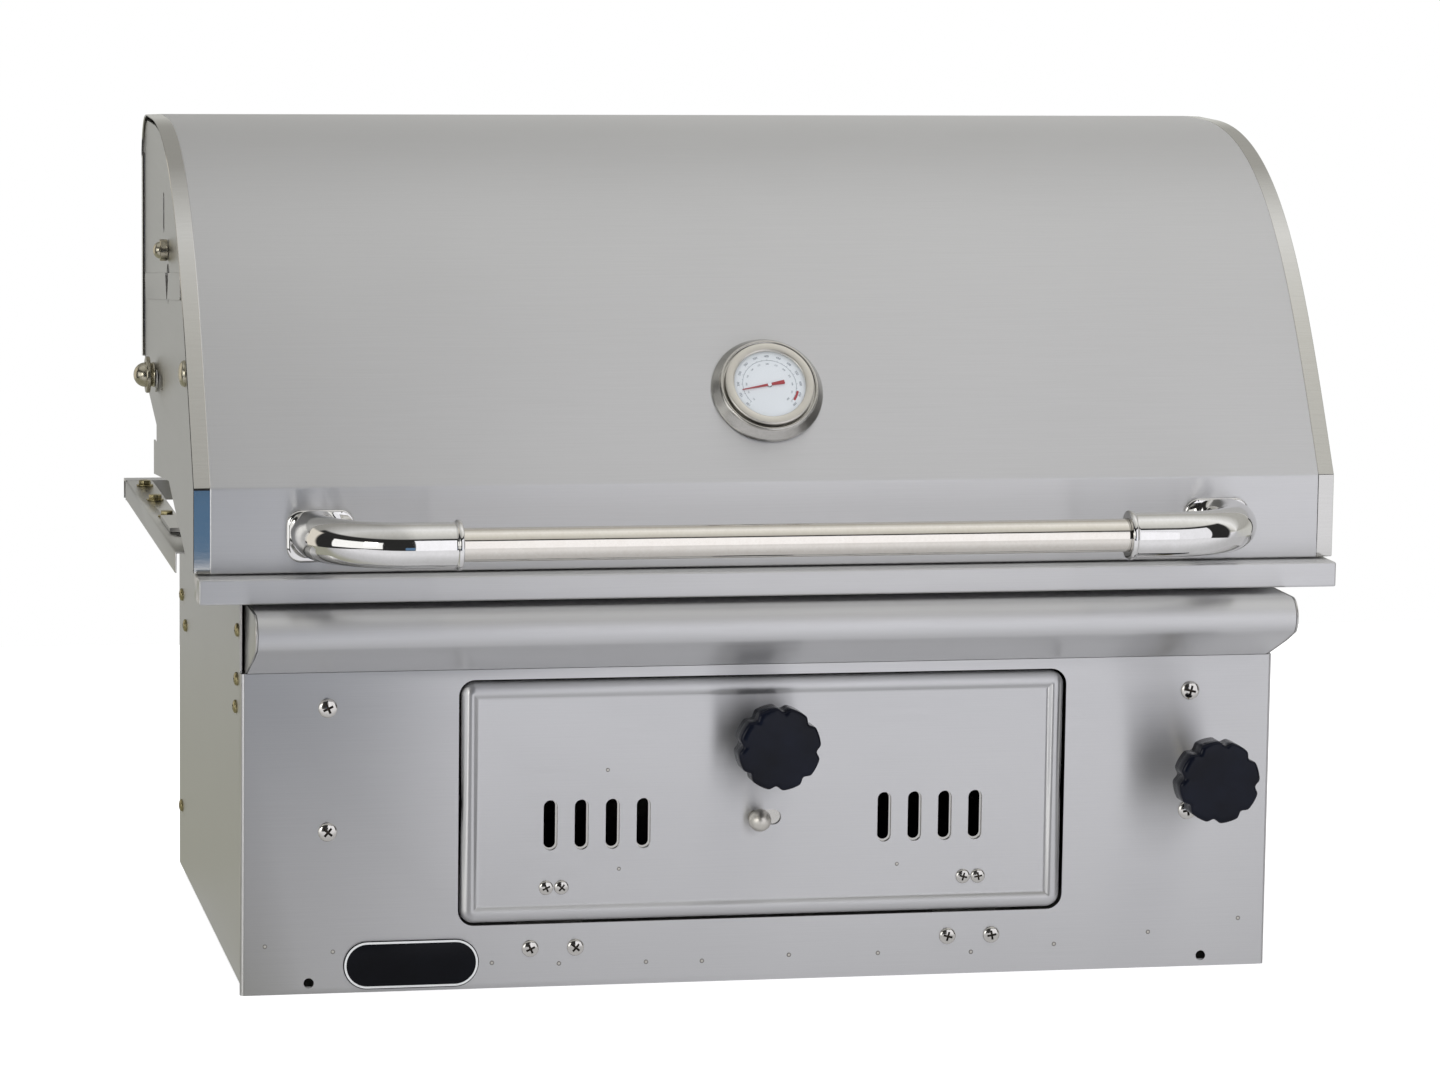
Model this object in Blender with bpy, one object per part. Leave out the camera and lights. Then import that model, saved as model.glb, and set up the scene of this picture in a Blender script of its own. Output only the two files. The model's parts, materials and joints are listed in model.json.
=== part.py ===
"""Built-in charcoal grill, about 0.81 m wide, in stainless sheet.

The front panel's outer face is the plane y = 0 of the drawing, +X is to the right, +Y goes back into
the grill and +Z is up. A root empty then shifts everything, so that the origin of the finished part is
the middle of its bounding box, at the bottom. All lengths are metres.
"""
import math
from dataclasses import dataclass

import bmesh
import bpy
from mathutils import Matrix, Vector

# General sheet, seats and cutters
SHEET = 0.0015
THIN_SHEET = 0.0012
SEAT_GAP = 0.0003
RUNNING_GAP = 0.0005
OVERRUN = 0.003

# Front panel and its holes
PANEL_WIDTH = 0.718
PANEL_HEIGHT = 0.2195
PANEL_EDGE_RADIUS = 0.003
PANEL_LIP = 0.0044
PANEL_RETURN = 0.0125
PANEL_HOLE_INSET = 0.0462
PANEL_HOLE_HEIGHT = 0.0074
PANEL_HOLE_RADIUS = 0.0035

# Body behind the panel
BODY_BACK = 0.419
SIDE_BOTTOM = 0.0079
SIDE_FLANGE = 0.017
PAN_INSET = 0.0098
PAN_RIM = 0.0100

# Bullnose along the top of the panel
NOSE_REACH = 0.066
NOSE_BOTTOM_REACH = 0.043
NOSE_BOTTOM_RISE = 0.0165
NOSE_TOP = 0.268
NOSE_RADIUS = 0.0135
NOSE_END_INSET = 0.0028
NOSE_TAB = 0.012

# Front ledge that the lid closes on
LEDGE_TOP = 0.2893
LEDGE_HEIGHT = 0.017
LEDGE_REACH = 0.0393
LEDGE_DEPTH = 0.0303
LEDGE_OVERHANG = 0.0317

# Hanger rails at the sides and the rail behind
HANGER_WIDTH = 0.0204
HANGER_HEIGHT = 0.015
HANGER_OVERHANG = 0.003
HANGER_FRONT = 0.0966
HANGER_BACK = 0.4786
REAR_RAIL_DEPTH = 0.016
BRACKET_FRONT = 0.125
BRACKET_BACK = 0.400
BRACKET_SHEET = 0.002

# Firebox
FIREBOX_INSET = 0.0145
FIREBOX_FRONT = 0.017
FIREBOX_DEPTH = 0.337
FIREBOX_BOTTOM = 0.046
FIREBOX_REST_DROP = 0.0125
FIREBOX_REST_WIDTH = 0.009
FIREBOX_DOORWAY_MARGIN = 0.004

# Cooking grates, as flat bars
GRATE_COUNT = 3
GRATE_BARS = 13
GRATE_BAR_WIDTH = 0.0065
GRATE_THICKNESS = 0.006
GRATE_RAIL_WIDTH = 0.010
GRATE_PLAY = 0.002

# Charcoal tray and its pins
TRAY_INSET = 0.091
TRAY_FRONT = 0.030
TRAY_BACK = 0.335
TRAY_BOTTOM = 0.140
TRAY_WALL = 0.045
TRAY_SHEET = 0.002
TRAY_SLOTS = 15
TRAY_SLOT_WIDTH = 0.010
TRAY_LIFT = 0.060
PIN_RADIUS = 0.004
PIN_RISE = 0.020
PIN_FRONT = 0.105
PIN_BACK = 0.250
PIN_CLEARANCE = 0.0005

# Cam frame, guides and the screw shaft that lift the tray
CAM_SIDE_GAP = 0.006
CAM_SHEET = 0.002
CAM_MARGIN = 0.012
CAM_BRIDGE_BOTTOM = 0.091
CAM_BRIDGE_HEIGHT = 0.008
CAM_BRIDGE_DEPTH = 0.016
CAM_BRIDGE_PLACE = 0.190
GUIDE_SIDE_GAP = 0.003
GUIDE_SHEET = 0.002
GUIDE_FLANGE = 0.0365
GUIDE_BOTTOM = 0.103
GUIDE_MARGIN = 0.012
SHAFT_FROM_TRAY = 0.034
SHAFT_HEIGHT = 0.1433
SHAFT_RADIUS = 0.006
SHAFT_THREAD_RADIUS = 0.0068
SHAFT_THREAD_FRONT = 0.045
SHAFT_THREAD_BACK = 0.300
SHAFT_STUB = 0.006
NUT_WIDTH = 0.024
NUT_LENGTH = 0.016
NUT_ABOVE = 0.012
NUT_PLACE = 0.130

# Lobed knobs
KNOB_RADIUS = 0.0285
KNOB_NOTCH = 0.0028
KNOB_LOBES = 8
KNOB_DEPTH = 0.020
KNOB_CROWN = 0.002
KNOB_TURN = 5.0
KNOB_HUB_RADIUS = 0.013
LIFT_KNOB_FRONT = 0.072
LIFT_KNOB_HUB = 0.012
DOOR_KNOB_FRONT = 0.049
DOOR_KNOB_HEIGHT = 0.1690
DOOR_KNOB_STUD_RADIUS = 0.003

# Ash pan
ASH_PAN_INSET = 0.010
ASH_PAN_FRONT = 0.026
ASH_PAN_BACK = 0.340
ASH_PAN_HEIGHT = 0.036

# Access door, a shallow pan with a rounded rim
DOOR_WIDTH = 0.420
DOOR_BOTTOM = 0.045
DOOR_HEIGHT = 0.166
DOOR_CORNER = 0.0095
DOOR_GAP = 0.0015
DOOR_RIM_RADIUS = 0.007
DOOR_RIM_PROUD = 0.0022
DOOR_RIM_FLAT = 0.0015
DOOR_RIM_SLOPE = 0.003

# Air slots, damper plate and its ball
VENT_END_MARGIN = 0.0617
VENT_PITCH = 0.0214
VENT_COUNT = 4
VENT_WIDTH = 0.0097
VENT_BOTTOM = 0.0942
VENT_TOP = 0.1289
BALL_SLOT_LENGTH = 0.023
BALL_SLOT_WIDTH = 0.0105
BALL_HEIGHT = 0.1135
BALL_RADIUS = 0.00775
BALL_REACH = 0.0105
BALL_STEM_RADIUS = 0.003
BALL_NUT_RADIUS = 0.0055
BALL_NUT_LENGTH = 0.002
DAMPER_SHEET = 0.001
DAMPER_MARGIN = 0.0063
DAMPER_END_MARGIN = 0.0112
DAMPER_VENT_INSET = 0.0008
DAMPER_TRAVEL = 0.0107
RAIL_LIP = 0.004
RAIL_FOOT = 0.008
RAIL_SHEET = 0.0010

# Door hinges
DOOR_HINGE_INSET = 0.064
DOOR_HINGE_WIDTH = 0.046
DOOR_LEAF_WIDTH = 0.024
DOOR_LEAF_TOP = 0.0765
DOOR_HINGE_SHEET = 0.0015
DOOR_BARREL_RADIUS = 0.0026
DOOR_PIN_RADIUS = 0.0012
DOOR_HINGE_REACH = 0.0034
DOOR_HINGE_RISE = 0.0045
DOOR_HINGE_FOOT = 0.0185

# Catch behind the top of the door opening
CATCH_WIDTH = 0.030
CATCH_DEPTH = 0.009
CATCH_DROP = 0.010
CATCH_RISE = 0.008

# Blank nameplate
PLATE_WIDTH = 0.0925
PLATE_HEIGHT = 0.0330
PLATE_THICKNESS = 0.0012
PLATE_INSET = 0.1158
PLATE_MIDDLE_HEIGHT = 0.0187

# Lid
LID_OVERHANG = 0.0018
LID_FRONT = 0.023
LID_SEAT_GAP = 0.0012
LID_BAND = 0.057
LID_HEIGHT = 0.2839
LID_BACK = 0.354
LID_FOOT_RISE = 0.005
LID_BACK_RADIUS = 0.035
LID_CREASE_ANGLE = 31.2
LID_CURVE_STEPS = 14
LID_SIDE_INSET = 0.0015
LID_SIDE_SHEET = 0.0012
LID_LINER_GAP = 0.012
LID_LIP = 0.010
LID_LOWER_PULL = 0.1425
LID_UPPER_PULL = 0.1635
LID_CROWN_RUN = 0.0437

# Lid pivot and hinge arms
PIVOT_PLACE = 0.270
PIVOT_RISE = 0.1027
PIVOT_SHANK_RADIUS = 0.004
PIVOT_EAR_RADIUS = 0.0125
PIVOT_RELIEF_RADIUS = 0.048
PIVOT_NOTCH_REACH = 0.061
PIVOT_NOTCH_DEPTH = 0.010
PIVOT_SPACER_RADIUS = 0.009
PIVOT_SPACER_LENGTH = 0.0032
PIVOT_WASHER_RADIUS = 0.013
PIVOT_WASHER_THICKNESS = 0.003
PIVOT_NUT_RADIUS = 0.0087
PIVOT_NUT_HEIGHT = 0.0085
PIVOT_HEAD_RADIUS = 0.0075
PIVOT_HEAD_HEIGHT = 0.004
ARM_SHEET = 0.003
ARM_FRONT = 0.223
ARM_BACK = 0.345
ARM_ABOVE_PIVOT = 0.018
ARM_TIP_PLACE = 0.2745
ARM_TIP_DROP = 0.0365
ARM_REAR_DROP = 0.0165
ARM_WEB_FRONT = 0.190
ARM_WEB_RISE = 0.0417
ARM_LEG_BACK = 0.258
ARM_LEG_OVERHANG = 0.006
ARM_FOOT_INSET = 0.010
ARM_FOOT_OVERHANG = 0.029
LID_SIDE_REAR = 0.277
LID_SIDE_REAR_RISE = 0.0307
LID_SIDE_RISE_START = 0.045
LID_SIDE_RISE_END = 0.165
LID_SIDE_MIDDLE_RISE = 0.0397

# Side vents of the lid and the liner bolt between them
SIDE_VENT_WIDTH = 0.009
SIDE_VENT_DROP = 0.0474
SIDE_VENT_LENGTH = 0.028
SIDE_VENT_PLACE = 0.199
LOW_VENT_WIDTH = 0.020
LOW_VENT_DROP = 0.0944
LOW_VENT_LENGTH = 0.029
LOW_VENT_PLACE = 0.168
LINER_BOLT_PLACE = 0.172
LINER_BOLT_DROP = 0.0854
LINER_BOLT_RADIUS = 0.003
LINER_BOLT_NUT_RADIUS = 0.0075
LINER_BOLT_NUT_HEIGHT = 0.005
LINER_BOLT_DOME_RADIUS = 0.0058
LINER_BOLT_DOME_HEIGHT = 0.0045
LINER_BOLT_INSIDE = 0.010

# Rear baffle and warming rack
BAFFLE_INSET = 0.014
BAFFLE_PLACE = 0.266
BAFFLE_TOP = 0.384
BAFFLE_SHELF = 0.305
BAFFLE_FOOT_FRONT = 0.341
BAFFLE_FOOT_BACK = 0.356
RACK_INSET = 0.059
RACK_FRONT = 0.158
RACK_BACK = 0.268
RACK_BARS = 22
RACK_BAR_WIDTH = 0.006
RACK_THICKNESS = 0.005
RACK_BRACKET_INSET = 0.090
RACK_BRACKET_WIDTH = 0.003
RACK_BRACKET_DROP = 0.040
RACK_BRACKET_NECK = 0.006

# Handle
HANDLE_REACH = 0.0955
HANDLE_RISE = 0.0276
HANDLE_BAR_RADIUS = 0.0112
HANDLE_TUBE_RADIUS = 0.0152
HANDLE_COLLAR_RADIUS = 0.0167
HANDLE_COLLAR_LENGTH = 0.006
HANDLE_FOOT_WIDTH = 0.0455
HANDLE_FOOT_HEIGHT = 0.035
HANDLE_FOOT_CORNER = 0.010
HANDLE_FOOT_SHEET = 0.003
HANDLE_FOOT_INSET = 0.006
HANDLE_FOOT_DROP = 0.0027
HANDLE_MOUNT_INSET = 0.078
HANDLE_ELBOW_RUN = 0.0895
HANDLE_BEND_RADIUS = 0.057

# Thermometer in the lid
DIAL_ON_CURVE_SHARE = 0.1622
DIAL_RING_RADIUS = 0.0385
DIAL_RING_TOP_RADIUS = 0.0330
DIAL_RING_HEIGHT = 0.010
DIAL_RING_EDGE = 0.002
DIAL_CASE_RADIUS = 0.0295
DIAL_BEZEL_RADIUS = 0.0313
DIAL_BEZEL_HEIGHT = 0.0022
DIAL_CASE_HEIGHT = 0.0125
DIAL_CASE_WALL = 0.0035
DIAL_CASE_FLOOR = 0.0083
DIAL_STEM_RADIUS = 0.005
DIAL_STEM_LENGTH = 0.030
DIAL_FACE_THICKNESS = 0.001
DIAL_HOLE_RADIUS = 0.0018
NEEDLE_TURN = 10.7
NEEDLE_LENGTH = 0.0195
NEEDLE_TAIL = 0.0106
NEEDLE_WIDTH = 0.0026
NEEDLE_HUB_RADIUS = 0.0032
NEEDLE_THICKNESS = 0.0005
NEEDLE_LIFT = 0.0005
LENS_THICKNESS = 0.001
LENS_DROP = 0.0003

# Fineness of round pieces
ROUND_STEPS = 24
SMALL_ROUND_STEPS = 16
CORNER_STEPS = 4
SMOOTH_ANGLE = 40.0

# Shares of outlines chosen by hand
TAPER_SHARE = 0.35
HALF_STEP = 0.5
KNOB_NOTCH_SHARES = (-0.26, -0.13, 0.0, 0.13, 0.26)
KNOB_NOTCH_DEPTH_SHARES = (0.0, 0.66, 1.0, 0.66, 0.0)
HANDLE_FLARE_SHARES = (0.50, 0.72, 0.90)

# Lines and levels worked out from the sizes above
HALF_PANEL = PANEL_WIDTH / 2
PANEL_HOLE_SPREAD = HALF_PANEL - PANEL_HOLE_INSET
PLATE_PLACE = HALF_PANEL - PLATE_INSET
LEDGE_WIDTH = PANEL_WIDTH + 2 * LEDGE_OVERHANG
HANGER_OUTSIDE = LEDGE_WIDTH / 2 + HANGER_OVERHANG
FIREBOX_WIDTH = PANEL_WIDTH - 2 * FIREBOX_INSET
TRAY_HALF_WIDTH = HALF_PANEL - TRAY_INSET
SHAFT_PLACE = TRAY_HALF_WIDTH + SHAFT_FROM_TRAY
ASH_PAN_HALF_WIDTH = DOOR_WIDTH / 2 - ASH_PAN_INSET
VENT_INNER_PLACE = DOOR_WIDTH / 2 - VENT_END_MARGIN - (VENT_COUNT - 1) * VENT_PITCH
DOOR_HINGE_PLACE = DOOR_WIDTH / 2 - DOOR_HINGE_INSET
LID_WIDTH = LEDGE_WIDTH + 2 * LID_OVERHANG
LID_BOTTOM = LEDGE_TOP + LID_SEAT_GAP
LID_TOP = LID_BOTTOM + LID_HEIGHT
PIVOT_HEIGHT = LEDGE_TOP + PIVOT_RISE
LID_BACK_BOTTOM = PIVOT_HEIGHT + LID_FOOT_RISE
LID_SIDE_REAR_HEIGHT = LEDGE_TOP + LID_SIDE_REAR_RISE
LID_SIDE_RISE_HEIGHT = LEDGE_TOP + LID_SIDE_MIDDLE_RISE
SIDE_VENT_TOP = LID_TOP - SIDE_VENT_DROP
SIDE_VENT_BOTTOM = SIDE_VENT_TOP - SIDE_VENT_LENGTH
LOW_VENT_TOP = LID_TOP - LOW_VENT_DROP
LOW_VENT_BOTTOM = LOW_VENT_TOP - LOW_VENT_LENGTH
LINER_BOLT_HEIGHT = LID_TOP - LINER_BOLT_DROP
ARM_TOP = PIVOT_HEIGHT + ARM_ABOVE_PIVOT
ARM_TIP_HEIGHT = PIVOT_HEIGHT - ARM_TIP_DROP
ARM_REAR_HEIGHT = PIVOT_HEIGHT - ARM_REAR_DROP
ARM_WEB_HEIGHT = LEDGE_TOP + ARM_WEB_RISE
ARM_LEG_OUTSIDE = HALF_PANEL + ARM_LEG_OVERHANG
ARM_FOOT_INSIDE = HALF_PANEL - ARM_FOOT_INSET
ARM_FOOT_OUTSIDE = HALF_PANEL + ARM_FOOT_OVERHANG
BAFFLE_HALF_WIDTH = HALF_PANEL - BAFFLE_INSET
RACK_HALF_WIDTH = HALF_PANEL - RACK_INSET
RACK_BRACKET_PLACE = RACK_HALF_WIDTH - RACK_BRACKET_INSET
BODY_TOP = LEDGE_TOP - SHEET - SEAT_GAP
INSIDE_SIDE = HALF_PANEL - SHEET - SEAT_GAP
DOOR_TOP = DOOR_BOTTOM + DOOR_HEIGHT
DOOR_AXIS_PLACE = DOOR_RIM_RADIUS - DOOR_RIM_PROUD
DOOR_AXIS_HEIGHT = DOOR_BOTTOM + DOOR_RIM_RADIUS
DOOR_INSIDE = SHEET + SEAT_GAP
CAM_INNER = TRAY_HALF_WIDTH + CAM_SIDE_GAP
CAM_OUTER = CAM_INNER + CAM_SHEET
GUIDE_INNER = CAM_OUTER + GUIDE_SIDE_GAP
GUIDE_OUTER = GUIDE_INNER + GUIDE_SHEET
PIN_END = GUIDE_OUTER + GUIDE_SHEET + SEAT_GAP
PIN_HEIGHT = TRAY_BOTTOM + PIN_RISE
PIN_SLOT = PIN_RADIUS + PIN_CLEARANCE
FIREBOX_BACK = FIREBOX_FRONT + FIREBOX_DEPTH
LID_HALF = LID_WIDTH / 2
HANDLE_HEIGHT = LID_BOTTOM + HANDLE_RISE
HANDLE_MOUNT_SPREAD = LID_HALF - HANDLE_MOUNT_INSET
HANDLE_COLLAR_SPREAD = HANDLE_MOUNT_SPREAD - HANDLE_ELBOW_RUN
LID_SIDE_OUTER = LID_HALF - LID_SIDE_INSET
LID_SIDE_INNER = LID_SIDE_OUTER - LID_SIDE_SHEET
ARM_OUTER = LID_SIDE_INNER - RUNNING_GAP
REAR_END = HANGER_BACK + SEAT_GAP + REAR_RAIL_DEPTH
HANDLE_FRONT = HANDLE_REACH + HANDLE_COLLAR_RADIUS
FRAME_SHIFT = (HANDLE_FRONT - REAR_END) / 2


@dataclass(frozen=True)
class Finish:
    """One look of a solid: its colour as sRGB shares, roughness, metallic value and opacity."""

    red: float
    green: float
    blue: float
    roughness: float
    metallic: float
    opacity: float = 1.0


BRUSHED = Finish(0.68, 0.68, 0.68, 0.36, 1.0)
LINER = Finish(0.46, 0.45, 0.43, 0.50, 1.0)
POLISHED = Finish(0.86, 0.86, 0.87, 0.08, 1.0)
FASTENER = Finish(0.60, 0.58, 0.53, 0.30, 1.0)
DARK_STEEL = Finish(0.22, 0.21, 0.20, 0.60, 1.0)
BLACK = Finish(0.10, 0.11, 0.14, 0.35, 0.0)
DIAL_FACE = Finish(0.86, 0.86, 0.84, 0.45, 0.0)
NEEDLE_RED = Finish(0.62, 0.10, 0.09, 0.40, 0.0)
GLASS = Finish(0.90, 0.93, 0.93, 0.05, 0.0, 0.30)


class Group:
    """Pieces that share one empty, which stands on the axis of the joint that moves them."""

    def __init__(self, name, place, parent=None):
        self.place = Vector(place)
        self.empty = bpy.data.objects.new(name, None)
        bpy.context.scene.collection.objects.link(self.empty)
        if parent is not None:
            self.empty.parent = parent.empty
            self.empty.location = self.place - parent.place

    def add(self, name, mesh_builder, finish, cutters=(), additions=(), smooth=True):
        """Makes one object from a bmesh, with its material, cutters and pieces joined to it."""
        item = self._object(name, mesh_builder)
        item.data.materials.append(make_material(name, finish))
        if smooth:
            item.data.shade_smooth()
            item.data.set_sharp_from_angle(angle=math.radians(SMOOTH_ANGLE))
        for number, extra in enumerate(additions, 1):
            self._boolean(item, extra, f"{name}_joined_{number}", "UNION")
        for number, cutter in enumerate(cutters, 1):
            self._boolean(item, cutter, f"{name}_cutter_{number}", "DIFFERENCE")
        return item

    def _object(self, name, mesh_builder):
        bmesh.ops.translate(mesh_builder, verts=mesh_builder.verts, vec=-self.place)
        bmesh.ops.recalc_face_normals(mesh_builder, faces=mesh_builder.faces)
        mesh = bpy.data.meshes.new(name)
        mesh_builder.to_mesh(mesh)
        mesh_builder.free()
        item = bpy.data.objects.new(name, mesh)
        bpy.context.scene.collection.objects.link(item)
        item.parent = self.empty
        return item

    def _boolean(self, item, mesh_builder, name, operation):
        tool = self._object(name, mesh_builder)
        tool.hide_render = True
        tool.display_type = "WIRE"
        modifier = item.modifiers.new(name, "BOOLEAN")
        modifier.operation = operation
        modifier.solver = "EXACT"
        modifier.object = tool


def make_material(name, finish):
    """Gives a Principled material with the finish's values."""
    material = bpy.data.materials.new(f"{name}_finish")
    material.use_nodes = True
    shader = material.node_tree.nodes["Principled BSDF"]
    shader.inputs["Base Color"].default_value = (finish.red, finish.green, finish.blue, 1.0)
    shader.inputs["Roughness"].default_value = finish.roughness
    shader.inputs["Metallic"].default_value = finish.metallic
    shader.inputs["Alpha"].default_value = finish.opacity
    return material


def arc(centre, radius, start, end, steps):
    """Points of a flat arc, angles in degrees, both ends included."""
    points = []
    for step in range(steps + 1):
        angle = math.radians(start + (end - start) * step / steps)
        points.append((centre[0] + radius * math.cos(angle), centre[1] + radius * math.sin(angle)))
    return points


def rounded_box(centre, half_width, half_height, radius, steps=CORNER_STEPS):
    """Outline of a rectangle with round corners, counter-clockwise."""
    points = []
    corners = ((1, -1, -90), (1, 1, 0), (-1, 1, 90), (-1, -1, 180))
    for side, level, start in corners:
        middle = (centre[0] + side * (half_width - radius), centre[1] + level * (half_height - radius))
        points += arc(middle, radius, start, start + 90, steps)
    return points


def rectangle(low, high):
    """Outline of a rectangle between two corners."""
    return [(low[0], low[1]), (high[0], low[1]), (high[0], high[1]), (low[0], high[1])]


def circle(centre, radius, steps=SMALL_ROUND_STEPS):
    """Outline of a circle."""
    return arc(centre, radius, 0, 360, steps)[:-1]


def tall_slot(centre_place, bottom, top, width, steps=6):
    """Outline of an upright slot with round ends."""
    radius = width / 2
    upper = arc((centre_place, top - radius), radius, 0, 180, steps)
    lower = arc((centre_place, bottom + radius), radius, 180, 360, steps)
    return upper + lower


def offset_line(points, distance):
    """The same open line moved to its left by a distance, with mitred corners."""
    moved = []
    count = len(points)
    for index, point in enumerate(points):
        normals = []
        for first, second in ((index - 1, index), (index, index + 1)):
            if first < 0 or second >= count:
                continue
            run = Vector((points[second][0] - points[first][0], points[second][1] - points[first][1]))
            run.normalize()
            normals.append(Vector((-run.y, run.x)))
        normal = sum(normals, Vector((0.0, 0.0)))
        normal.normalize()
        reach = distance / max(normal.dot(normals[0]), TAPER_SHARE)
        moved.append((point[0] + normal.x * reach, point[1] + normal.y * reach))
    return moved


def sheet_outline(points, thickness):
    """Closed outline of a bent sheet, thickened to the left of its line."""
    return list(points) + list(reversed(offset_line(points, thickness)))


def loft(loops, closed=False):
    """A solid through loops of equally many points, capped at both ends unless it is closed."""
    mesh_builder = bmesh.new()
    rings = [[mesh_builder.verts.new(point) for point in loop] for loop in loops]
    pairs = list(zip(rings, rings[1:]))
    if closed:
        pairs.append((rings[-1], rings[0]))
    else:
        mesh_builder.faces.new(rings[0])
        mesh_builder.faces.new(rings[-1])
    for lower, upper in pairs:
        count = len(lower)
        for index in range(count):
            following = (index + 1) % count
            mesh_builder.faces.new((lower[index], lower[following], upper[following], upper[index]))
    return mesh_builder


def prism(axis, outline, low, high):
    """A straight solid: its outline is in the plane across the axis, in X, Y, Z order."""
    return loft([place_outline(axis, outline, low), place_outline(axis, outline, high)])


def place_outline(axis, outline, level):
    """Points of a flat outline at one level of the X, Y or Z axis."""
    if axis == "X":
        return [(level, first, second) for first, second in outline]
    if axis == "Y":
        return [(first, level, second) for first, second in outline]
    return [(first, second, level) for first, second in outline]


def block(low, high):
    """A box between two corners."""
    return prism("Z", rectangle(low[:2], high[:2]), low[2], high[2])


def join(builders):
    """Puts several separate solids into one mesh, for use as one cutter."""
    whole = bmesh.new()
    for builder in builders:
        part = bpy.data.meshes.new("cutter_part")
        builder.to_mesh(part)
        builder.free()
        whole.from_mesh(part)
        bpy.data.meshes.remove(part)
    return whole


def turned(profile, steps=ROUND_STEPS, closed=False):
    """A turned solid about local Z from (radius, height) points, open where it meets the axis."""
    mesh_builder = bmesh.new()
    corners = [mesh_builder.verts.new((radius, 0.0, height)) for radius, height in profile]
    edges = [mesh_builder.edges.new(pair) for pair in zip(corners, corners[1:])]
    if closed:
        edges.append(mesh_builder.edges.new((corners[-1], corners[0])))
    bmesh.ops.spin(mesh_builder, geom=corners + edges, cent=(0, 0, 0), axis=(0, 0, 1), dvec=(0, 0, 0),
                   angle=math.tau, steps=steps, use_merge=True)
    bmesh.ops.remove_doubles(mesh_builder, verts=mesh_builder.verts, dist=SEAT_GAP / ROUND_STEPS)
    return mesh_builder


def placed(mesh_builder, matrix):
    """The same solid, moved by a matrix."""
    bmesh.ops.transform(mesh_builder, matrix=matrix, verts=mesh_builder.verts)
    return mesh_builder


def along(direction, place):
    """Matrix that stands local Z along a direction, at a place."""
    turn = Vector((0, 0, 1)).rotation_difference(Vector(direction)).to_matrix().to_4x4()
    return Matrix.Translation(Vector(place)) @ turn


def rod(direction, place, radius, length, steps=SMALL_ROUND_STEPS):
    """A round rod from a place along a direction."""
    return placed(turned([(0, 0), (radius, 0), (radius, length), (0, length)], steps), along(direction, place))


def dome(radius, height, start, steps=4):
    """Profile points of a rounded end, from its edge to the axis."""
    points = []
    for step in range(1, steps + 1):
        angle = math.radians(90 * step / steps)
        points.append((radius * math.cos(angle), start + height * math.sin(angle)))
    points[-1] = (0, start + height)
    return points


def mirrored(points):
    """Outline points with their first coordinate turned about, in reverse order."""
    return [(-first, second) for first, second in reversed(points)]


def build_front_panel(body):
    """Front panel with door opening, shaft hole and two round holes near its foot."""
    corner = arc((HALF_PANEL - PANEL_EDGE_RADIUS, PANEL_EDGE_RADIUS), PANEL_EDGE_RADIUS, -90, 0, CORNER_STEPS)
    right = corner + [
        (HALF_PANEL, PANEL_LIP), (INSIDE_SIDE, PANEL_LIP), (INSIDE_SIDE, PANEL_LIP + PANEL_RETURN - SEAT_GAP),
        (INSIDE_SIDE - SHEET, PANEL_LIP + PANEL_RETURN - SEAT_GAP), (INSIDE_SIDE - SHEET, SHEET)]
    outline = right + mirrored(right)
    doorway = rounded_box((0, DOOR_BOTTOM + DOOR_HEIGHT / 2), DOOR_WIDTH / 2 + DOOR_GAP,
                          DOOR_HEIGHT / 2 + DOOR_GAP, DOOR_CORNER + DOOR_GAP)
    holes = [prism("Y", doorway, -OVERRUN, SHEET + OVERRUN)]
    holes.append(rod((0, 1, 0), (SHAFT_PLACE, -OVERRUN, SHAFT_HEIGHT), SHAFT_RADIUS + RUNNING_GAP,
                     SHEET + 2 * OVERRUN))
    for side in (-1, 1):
        holes.append(rod((0, 1, 0), (side * PANEL_HOLE_SPREAD, -OVERRUN, PANEL_HOLE_HEIGHT), PANEL_HOLE_RADIUS,
                         SHEET + 2 * OVERRUN))
    body.add("front_panel", prism("Z", outline, 0, PANEL_HEIGHT), BRUSHED, cutters=[join(holes)])


def build_body_shell(body):
    """Side panels, back panel and the base pan, which stands on the surface below."""
    for side, word in ((-1, "left"), (1, "right")):
        outer = HALF_PANEL
        flange = outer - SIDE_FLANGE
        front = PANEL_LIP + SEAT_GAP
        outline = [(outer, front), (outer, BODY_BACK), (flange, BODY_BACK), (flange, BODY_BACK - SHEET),
                   (outer - SHEET, BODY_BACK - SHEET), (outer - SHEET, front)]
        outline = [(side * first, second) for first, second in outline]
        body.add(f"body_side_{word}", prism("Z", outline, SIDE_BOTTOM, BODY_TOP), BRUSHED)
    back_face = BODY_BACK - SHEET - SEAT_GAP
    body.add("back_panel", block((-INSIDE_SIDE, back_face - SHEET, SIDE_BOTTOM),
                                 (INSIDE_SIDE, back_face, BODY_TOP)), BRUSHED)
    wall = HALF_PANEL - PAN_INSET
    rim = PAN_RIM
    right = [(wall, 0), (wall, rim - THIN_SHEET), (INSIDE_SIDE, rim - THIN_SHEET), (INSIDE_SIDE, rim),
             (wall - THIN_SHEET, rim), (wall - THIN_SHEET, THIN_SHEET)]
    pan = prism("Y", right + mirrored(right), FIREBOX_FRONT, back_face - SHEET - SEAT_GAP)
    body.add("base_pan", pan, BRUSHED)


def nose_line():
    """Outer line of the bullnose, from the panel's top round the nose and back over it."""
    top_centre = (-NOSE_REACH + NOSE_RADIUS, NOSE_TOP - NOSE_RADIUS)
    line = [(0, PANEL_HEIGHT + SEAT_GAP), (-NOSE_BOTTOM_REACH, PANEL_HEIGHT + SEAT_GAP + NOSE_BOTTOM_RISE)]
    line += arc(top_centre, NOSE_RADIUS, 220, 90, 2 * CORNER_STEPS)
    line.append((PANEL_LIP, NOSE_TOP))
    return line


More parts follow.
